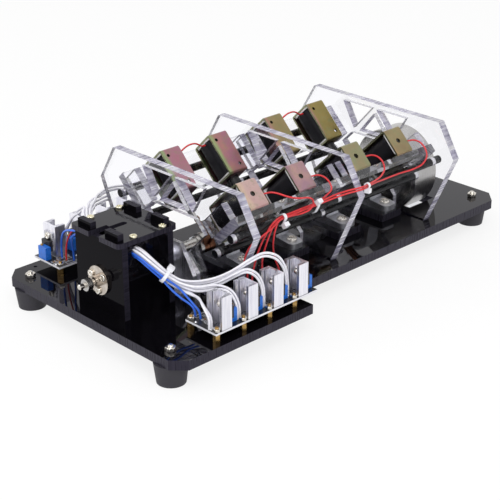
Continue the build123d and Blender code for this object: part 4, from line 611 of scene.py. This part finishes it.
foot_thread = threaded_end(diameter=4.0, length=4.8, pitch=0.7)
foot_ends = shells("foot_screw_ends", [
    stood(foot_thread, (x, y, BASE_TOP))
    for x, y in FOOT_PLACES], NICKEL)
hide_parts("foot_screws")

foot_shank = turned([(3.0, -2.48), (3.8, -2.2), (3.8, 0), (1.9, 0), (1.9, 15.4)], sides=32)
foot_shanks = shells("foot_screw_shanks", [
    stood(foot_shank, (x, y, FOOT_SEAT))
    for x, y in FOOT_PLACES], NICKEL)
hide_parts("foot_screws")


# --- driver boards, in a board's own mm: X along it, -Y to its outer edge, Z from its top ---
BOARD_TOP = 31.4                # over the ground
BOARD_THICKNESS = 1.6
NEAR_BOARD = (-156.8, -64.5)    # X and Y of the near board's own zero in the frame
FAR_BOARD = (-69.2, 64.5)
CHANNELS = np.arange(4) * 25.0  # the four alike channels along a board


def on_boards(grids):
    """Grids laid on both boards: the far board is the near one turned half round."""
    near = [grid + (*NEAR_BOARD, BOARD_TOP) for grid in grids]
    far = [grid * (-1, -1, 1) + (*FAR_BOARD, BOARD_TOP) for grid in grids]
    return near + far


def each_channel(grids):
    """Each grid in the four channels of a board."""
    return [grid + (step, 0, 0) for grid in grids for step in CHANNELS]


# A board stands on pillars: one for each channel at its outer edge, and two at its inner edge.
FIRST_HOLE = 3.1      # X
LAST_HOLE = 96.7      # X
OUTER_HOLES = -28.9   # Y
INNER_HOLES = -2.6    # Y
BOARD_HOLES = ([(FIRST_HOLE + step, OUTER_HOLES) for step in CHANNELS]
               + [(FIRST_HOLE, INNER_HOLES), (LAST_HOLE, INNER_HOLES)])
board_nut = hexagon_nut(across=5.0, height=2.4)
board_nuts = shells("board_hex_nuts", on_boards([
    stood(board_nut, (x, y, 0), across=ASKEW)
    for x, y in BOARD_HOLES]), NICKEL)
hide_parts("board_nuts")

board_thread = threaded_end(diameter=2.9, length=5.2, pitch=0.5)
board_studs = shells("board_studs", on_boards([
    stood(board_thread, (x, y, -BOARD_THICKNESS))
    for x, y in BOARD_HOLES]), BRASS_BAR)
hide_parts("board_nuts")

# Each transistor is a moulded body on a tinned tab, with three legs down to the board.
TRANSISTOR_MIDDLE = -23.7   # Y
TRANSISTOR_OUTER = -28.7    # Y of its outer side
TRANSISTOR_INNER = -18.7    # Y of its inner side
LEG_PITCH = 2.54
LEG_HALF_WIDTH = 0.45
LEG_MIDDLES = (TRANSISTOR_MIDDLE - LEG_PITCH, TRANSISTOR_MIDDLE, TRANSISTOR_MIDDLE + LEG_PITCH)
body = block((15.25, TRANSISTOR_OUTER, 4.5), (19.6, TRANSISTOR_INNER, 13.5), corner=0.5, bevel=0.35)
tab = block((15.2, TRANSISTOR_OUTER, 4.6), (16.5, TRANSISTOR_INNER, 19.5), corner=0.3, bevel=0.12)
legs = [block((17.15, y - LEG_HALF_WIDTH, 0.0), (17.65, y + LEG_HALF_WIDTH, 4.7), corner=0.1, bevel=0.05)
        for y in LEG_MIDDLES]
transistor_bodies = shells("transistor_bodies", on_boards(each_channel([body])), EPOXY)
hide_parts("power_transistors")
transistor_tabs = shells("transistor_tabs", on_boards(each_channel([tab, *legs])), TINNED)
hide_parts("power_transistors")

# Each heat sink has a third, short fin on both sides, and a screw that goes through the
# transistor's tab and its own web to a nut.
FIN_MIDDLES = (-19.4, -28.0)  # Y
FIN_HALF = 0.4                # half of a fin's thickness
inner_fins = [block((9.0, y - FIN_HALF, 0.05), (13.25, y + FIN_HALF, 24.95), corner=0.15, bevel=0.1)
              for y in FIN_MIDDLES]
shells("heat_sink_inner_fins", on_boards(each_channel(inner_fins)), ALUMINIUM)

TAB_HOLE_HEIGHT = 16.4
TAB_FRONT = (16.5, TRANSISTOR_MIDDLE, TAB_HOLE_HEIGHT)   # where the screw's head bears
WEB_BACK = (13.15, TRANSISTOR_MIDDLE, TAB_HOLE_HEIGHT)   # where its nut bears
tab_screw = cross_recess_screw(thread=3.0, shank=1.2)
tab_head = stood(tab_screw, TAB_FRONT, up=BACKWARDS, across=(0, 0.8, 0.6))
tab_nut = stood(hexagon_nut(across=5.4, height=2.3), WEB_BACK, up=FORWARDS, across=(0, 1, 0))
tab_thread = threaded_end(diameter=2.9, length=4.2, pitch=0.5)
tab_thread = stood(tab_thread, WEB_BACK, up=FORWARDS, across=(0, 1, 0))
shells("heat_sink_screws", on_boards(each_channel([tab_head])), NICKEL)
shells("heat_sink_nuts", on_boards(each_channel([tab_nut])), NICKEL)
shells("heat_sink_threads", on_boards(each_channel([tab_thread])), NICKEL)

# A trimmer's screw stands out of its housing near the outer end, with a slot across its head.
SLOT_HALF_WIDTH = 0.26
SLOT_DEPTH = 0.45
trimmer_screw = turned([
    (0.1, -0.3), (1.15, -0.3), (1.15, 0.9), (1.0, 1.1), (0.8, 1.1), (0.5, 1.1), (0.2, 1.1)], sides=32)
slotted_rows = trimmer_screw[3:]
slotted_rows[..., 2] -= SLOT_DEPTH * (np.abs(slotted_rows[..., 0]) < SLOT_HALF_WIDTH)
trimmer_screw = stood(trimmer_screw, (22.2, -24.4, 10.0))
trimmer_foot = block((19.95, -26.05, 0.02), (24.45, -16.85, 0.5), corner=0.3, bevel=0.1)
shells("trimmer_screws", on_boards(each_channel([trimmer_screw])), BRASS_BAR)
shells("trimmer_feet", on_boards(each_channel([trimmer_foot])), LEGEND_INK)

# Chips as (x, y, whether they lie along X), solder joints as (x, y), and printed frames as
# (x, y, length, width), all for one channel.
CHIPS = ((7.4, -14.2, True), (7.4, -10.6, True), (12.6, -14.2, True), (17.6, -12.2, False),
         (20.8, -12.2, False), (12.4, -7.4, True))
CHIP_LENGTH = 3.2
CHIP_WIDTH = 1.6
CHIP_HEIGHT = 0.62
END_LENGTH = 0.55    # how much of a chip a tinned end covers
END_WIDTH = 1.7
END_HEIGHT = 0.66
END_PROUD = 0.05     # how far an end stands out of the chip
CHIP_MARGIN = 0.8    # between a chip and its printed frame
JOINTS = ((2.2, -24.0), (4.6, -24.0), (20.6, -6.2), (23.2, -6.2), (18.0, -6.2), (2.0, -8.6))
PRINTED_FRAMES = ((6.6, -4.4, 9.4, 3.4), (16.8, -8.0, 8.0, 3.6), (5.5, -28.9, 9.9, 16.0))
INK_LINE = 0.28
INK_HEIGHT = 0.05


def printed_frame(x, y, length, width):
    """A rectangle of ink, as four thin bars."""
    bars = [((x, y), (x + length, y + INK_LINE)),
            ((x, y + width - INK_LINE), (x + length, y + width)),
            ((x, y), (x + INK_LINE, y + width)),
            ((x + length - INK_LINE, y), (x + length, y + width))]
    return [block((*low, 0.0), (*high, INK_HEIGHT), corner=0.05, bevel=0.01) for low, high in bars]


def chip(x, y, along):
    """A chip part: its ceramic body, its two tinned ends, and the printed frame round it."""
    size = np.array((CHIP_LENGTH, CHIP_WIDTH) if along else (CHIP_WIDTH, CHIP_LENGTH))
    end = np.array((END_LENGTH, END_WIDTH) if along else (END_WIDTH, END_LENGTH))
    near = np.array((x, y))
    far = near + size
    ceramic = block((*near, 0.02), (*far, CHIP_HEIGHT), corner=0.1, bevel=0.06)
    first = block((*(near - END_PROUD), 0.0), (*(near + end), END_HEIGHT), corner=0.1, bevel=0.06)
    last = block((*(far - end + END_PROUD), 0.0), (*(far + END_PROUD), END_HEIGHT), corner=0.1, bevel=0.06)
    printed = printed_frame(x - CHIP_MARGIN, y - CHIP_MARGIN, *(size + 2 * CHIP_MARGIN))
    return ceramic, [first, last], printed


chip_bodies = []
chip_ends = []
ink = []
for x, y, along in CHIPS:
    ceramic, tinned, printed = chip(x, y, along)
    chip_bodies.append(ceramic)
    chip_ends += tinned
    ink += printed
for corner_and_size in PRINTED_FRAMES:
    ink += printed_frame(*corner_and_size)
joint = turned([(0.3, 0.0), (1.05, 0.0), (0.95, 0.12), (0.55, 0.75), (0.3, 0.95)], sides=20)
joints = [stood(joint, (x, y, 0)) for x, y in JOINTS]
shells("board_chips", on_boards(each_channel(chip_bodies)), CERAMIC)
shells("board_chip_ends", on_boards(each_channel(chip_ends)), TINNED)
shells("board_solder", on_boards(each_channel(joints)), TINNED)
shells("board_legend", on_boards(each_channel(ink)), LEGEND_INK)


# --- blue leads -----------------------------------------------------------------------------
BLUE_LEAD_DIAMETER = 1.6
# The blue supply leads, in mm: out of the box's side walls and down to the boards' front ends.
BLUE_ROUTES = [
    [(-169.0, -19.9, 71.0), (-168.9, -29.1, 70.6), (-165.7, -37.4, 64.3), (-160.1, -44.5, 56.2),
     (-156.3, -50.5, 48.4), (-152.9, -57.0, 42.8), (-150.0, -63.2, 39.6), (-149.4, -66.6, 36.0),
     (-149.4, -66.6, 31.4)],
    [(-169.0, 19.9, 71.0), (-169.0, 28.8, 70.7), (-169.2, 38.1, 69.6), (-169.1, 47.4, 67.5),
     (-167.1, 56.6, 63.9), (-163.7, 65.3, 57.4), (-159.8, 72.3, 48.8), (-156.8, 77.4, 40.2),
     (-156.8, 77.4, 31.4)],
    [(-169.9, -20.1, 73.3), (-169.6, -30.1, 72.7), (-165.7, -39.2, 66.0), (-159.7, -46.6, 57.8),
     (-153.5, -53.7, 51.5), (-150.1, -59.3, 44.2), (-149.2, -65.9, 39.8), (-149.0, -71.6, 36.4),
     (-149.0, -71.6, 31.4)],
    [(-166.7, 19.9, 70.1), (-166.7, 28.6, 69.8), (-166.9, 37.0, 68.2), (-166.6, 45.3, 64.3),
     (-163.8, 53.3, 58.8), (-159.2, 60.5, 51.3), (-154.2, 66.0, 42.4), (-152.8, 67.6, 36.0),
     (-152.8, 67.6, 31.4)],
]


def smooth_lead(name, points, diameter, finish):
    """A round lead on a smooth curve that starts and ends on its route's own ends."""
    curve = bpy.data.curves.new(name, "CURVE")
    curve.dimensions = "3D"
    curve.bevel_depth = diameter / 2 * MM
    curve.bevel_resolution = 5
    curve.resolution_u = 10
    curve.use_fill_caps = True
    line = curve.splines.new("NURBS")
    line.points.add(len(points) - 1)
    for control, point in zip(line.points, points):
        control.co = (*(c * MM for c in point), 1.0)
    line.order_u = 3
    line.use_endpoint_u = True
    curve.materials.append(finish)
    made = bpy.data.objects.new(name, curve)
    bpy.context.collection.objects.link(made)
    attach(made, "frame")
    return made


for number, route in enumerate(BLUE_ROUTES, 1):
    lead = smooth_lead(f"blue_lead_{number}", route, BLUE_LEAD_DIAMETER, BLUE_PVC)
    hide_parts("blue_leads")


# --- studio ---------------------------------------------------------------------------------
WHITE = (1, 1, 1, 1)
WORLD_STRENGTH = 0.75       # of the light on the object, where 1 is the white that is seen
FLOOR_GLOW = 0.8            # the share of plain white in the floor, where it is seen
FLOOR_HALF = 4.0            # m
FLOOR_HEIGHT = -0.0005      # m, just under the feet
# Name, place and side in metres, and power in watts.
PANELS = (("key_panel", (-0.7, -0.9, 1.3), 1.0, 10.0), ("fill_panel", (-1.2, 0.7, 1.0), 0.9, 4.0))
PANEL_AIM = (0, 0, 0.05)    # m


def seen(tree):
    """1 where the camera, a mirror or a clear sheet sees a surface, and 0 where it lights another."""
    path = add(tree, "LightPath").outputs
    direct = add(tree, "Math", [path["Is Camera Ray"], path["Is Glossy Ray"]], operation="MAXIMUM")
    return add(tree, "Math", [direct, path["Is Transmission Ray"]], operation="MAXIMUM")


def white_world():
    """Even light from all sides, and plain white where it is seen."""
    world = bpy.data.worlds.new("white_room")
    world.use_nodes = True
    tree = world.node_tree
    tree.nodes.clear()
    strength = add(tree, "MapRange", [seen(tree), 0.0, 1.0, WORLD_STRENGTH, 1.0])
    add(tree, "OutputWorld", [add(tree, "Background", [WHITE, strength])])
    bpy.context.scene.world = world


def paper_floor():
    """Matt white paper, which glows a little where it is seen and keeps the object's shadow."""
    made, tree = blank("white_paper_floor")
    paper = add(tree, "BsdfPrincipled", {"Base Color": WHITE, "Roughness": 0.9})
    glow = add(tree, "Emission", [WHITE, 1.0])
    share = add(tree, "Math", [seen(tree), FLOOR_GLOW], operation="MULTIPLY")
    add(tree, "OutputMaterial", [add(tree, "MixShader", [share, paper, glow])])

    mesh = bpy.data.meshes.new("floor")
    mesh.from_pydata([(-FLOOR_HALF, -FLOOR_HALF, 0), (FLOOR_HALF, -FLOOR_HALF, 0),
                      (FLOOR_HALF, FLOOR_HALF, 0), (-FLOOR_HALF, FLOOR_HALF, 0)], [], [(0, 1, 2, 3)])
    mesh.materials.append(made)
    floor = bpy.data.objects.new("floor", mesh)
    floor.location.z = FLOOR_HEIGHT
    bpy.context.collection.objects.link(floor)


def panel(name, where, side, power):
    """A square lamp that looks at the object."""
    light = bpy.data.lights.new(name, "AREA")
    light.size = side
    light.energy = power
    lamp = bpy.data.objects.new(name, light)
    lamp.location = where
    lamp.rotation_mode = "QUATERNION"
    lamp.rotation_quaternion = (Vector(PANEL_AIM) - Vector(where)).to_track_quat("-Z", "Y")
    bpy.context.collection.objects.link(lamp)


CAMERA_PLACE = (-0.70384, -0.69807, 0.46319)  # m
CAMERA_YAW = -0.766     # radians round Z from looking along +Y
CAMERA_PITCH = -0.426
CAMERA_ROLL = -0.003
CAMERA_LENS = 97.47     # mm
CAMERA_SENSOR = 36.0    # mm
CAMERA_REACH = (0.05, 20.0)  # m, nothing nearer or further is drawn


def camera():
    """The camera of the view, by its place and its yaw, pitch and roll."""
    level = math.cos(CAMERA_PITCH)
    forward = np.array([
        -math.sin(CAMERA_YAW) * level, math.cos(CAMERA_YAW) * level, math.sin(CAMERA_PITCH)])
    right = np.cross(forward, (0, 0, 1))
    right /= np.linalg.norm(right)
    up = np.cross(right, forward)
    rolled_right = math.cos(CAMERA_ROLL) * right + math.sin(CAMERA_ROLL) * up
    rolled_up = -math.sin(CAMERA_ROLL) * right + math.cos(CAMERA_ROLL) * up
    lens = bpy.data.cameras.new("camera")
    lens.lens = CAMERA_LENS
    lens.sensor_width = CAMERA_SENSOR
    lens.clip_start, lens.clip_end = CAMERA_REACH
    made = bpy.data.objects.new("camera", lens)
    axes = np.stack([rolled_right, rolled_up, -forward, CAMERA_PLACE], -1)
    made.matrix_world = Matrix((*axes.tolist(), (0, 0, 0, 1)))
    bpy.context.collection.objects.link(made)
    bpy.context.scene.camera = made


camera()
bpy.context.scene.view_settings.view_transform = "Standard"
white_world()
paper_floor()
for lamp_facts in PANELS:
    panel(*lamp_facts)
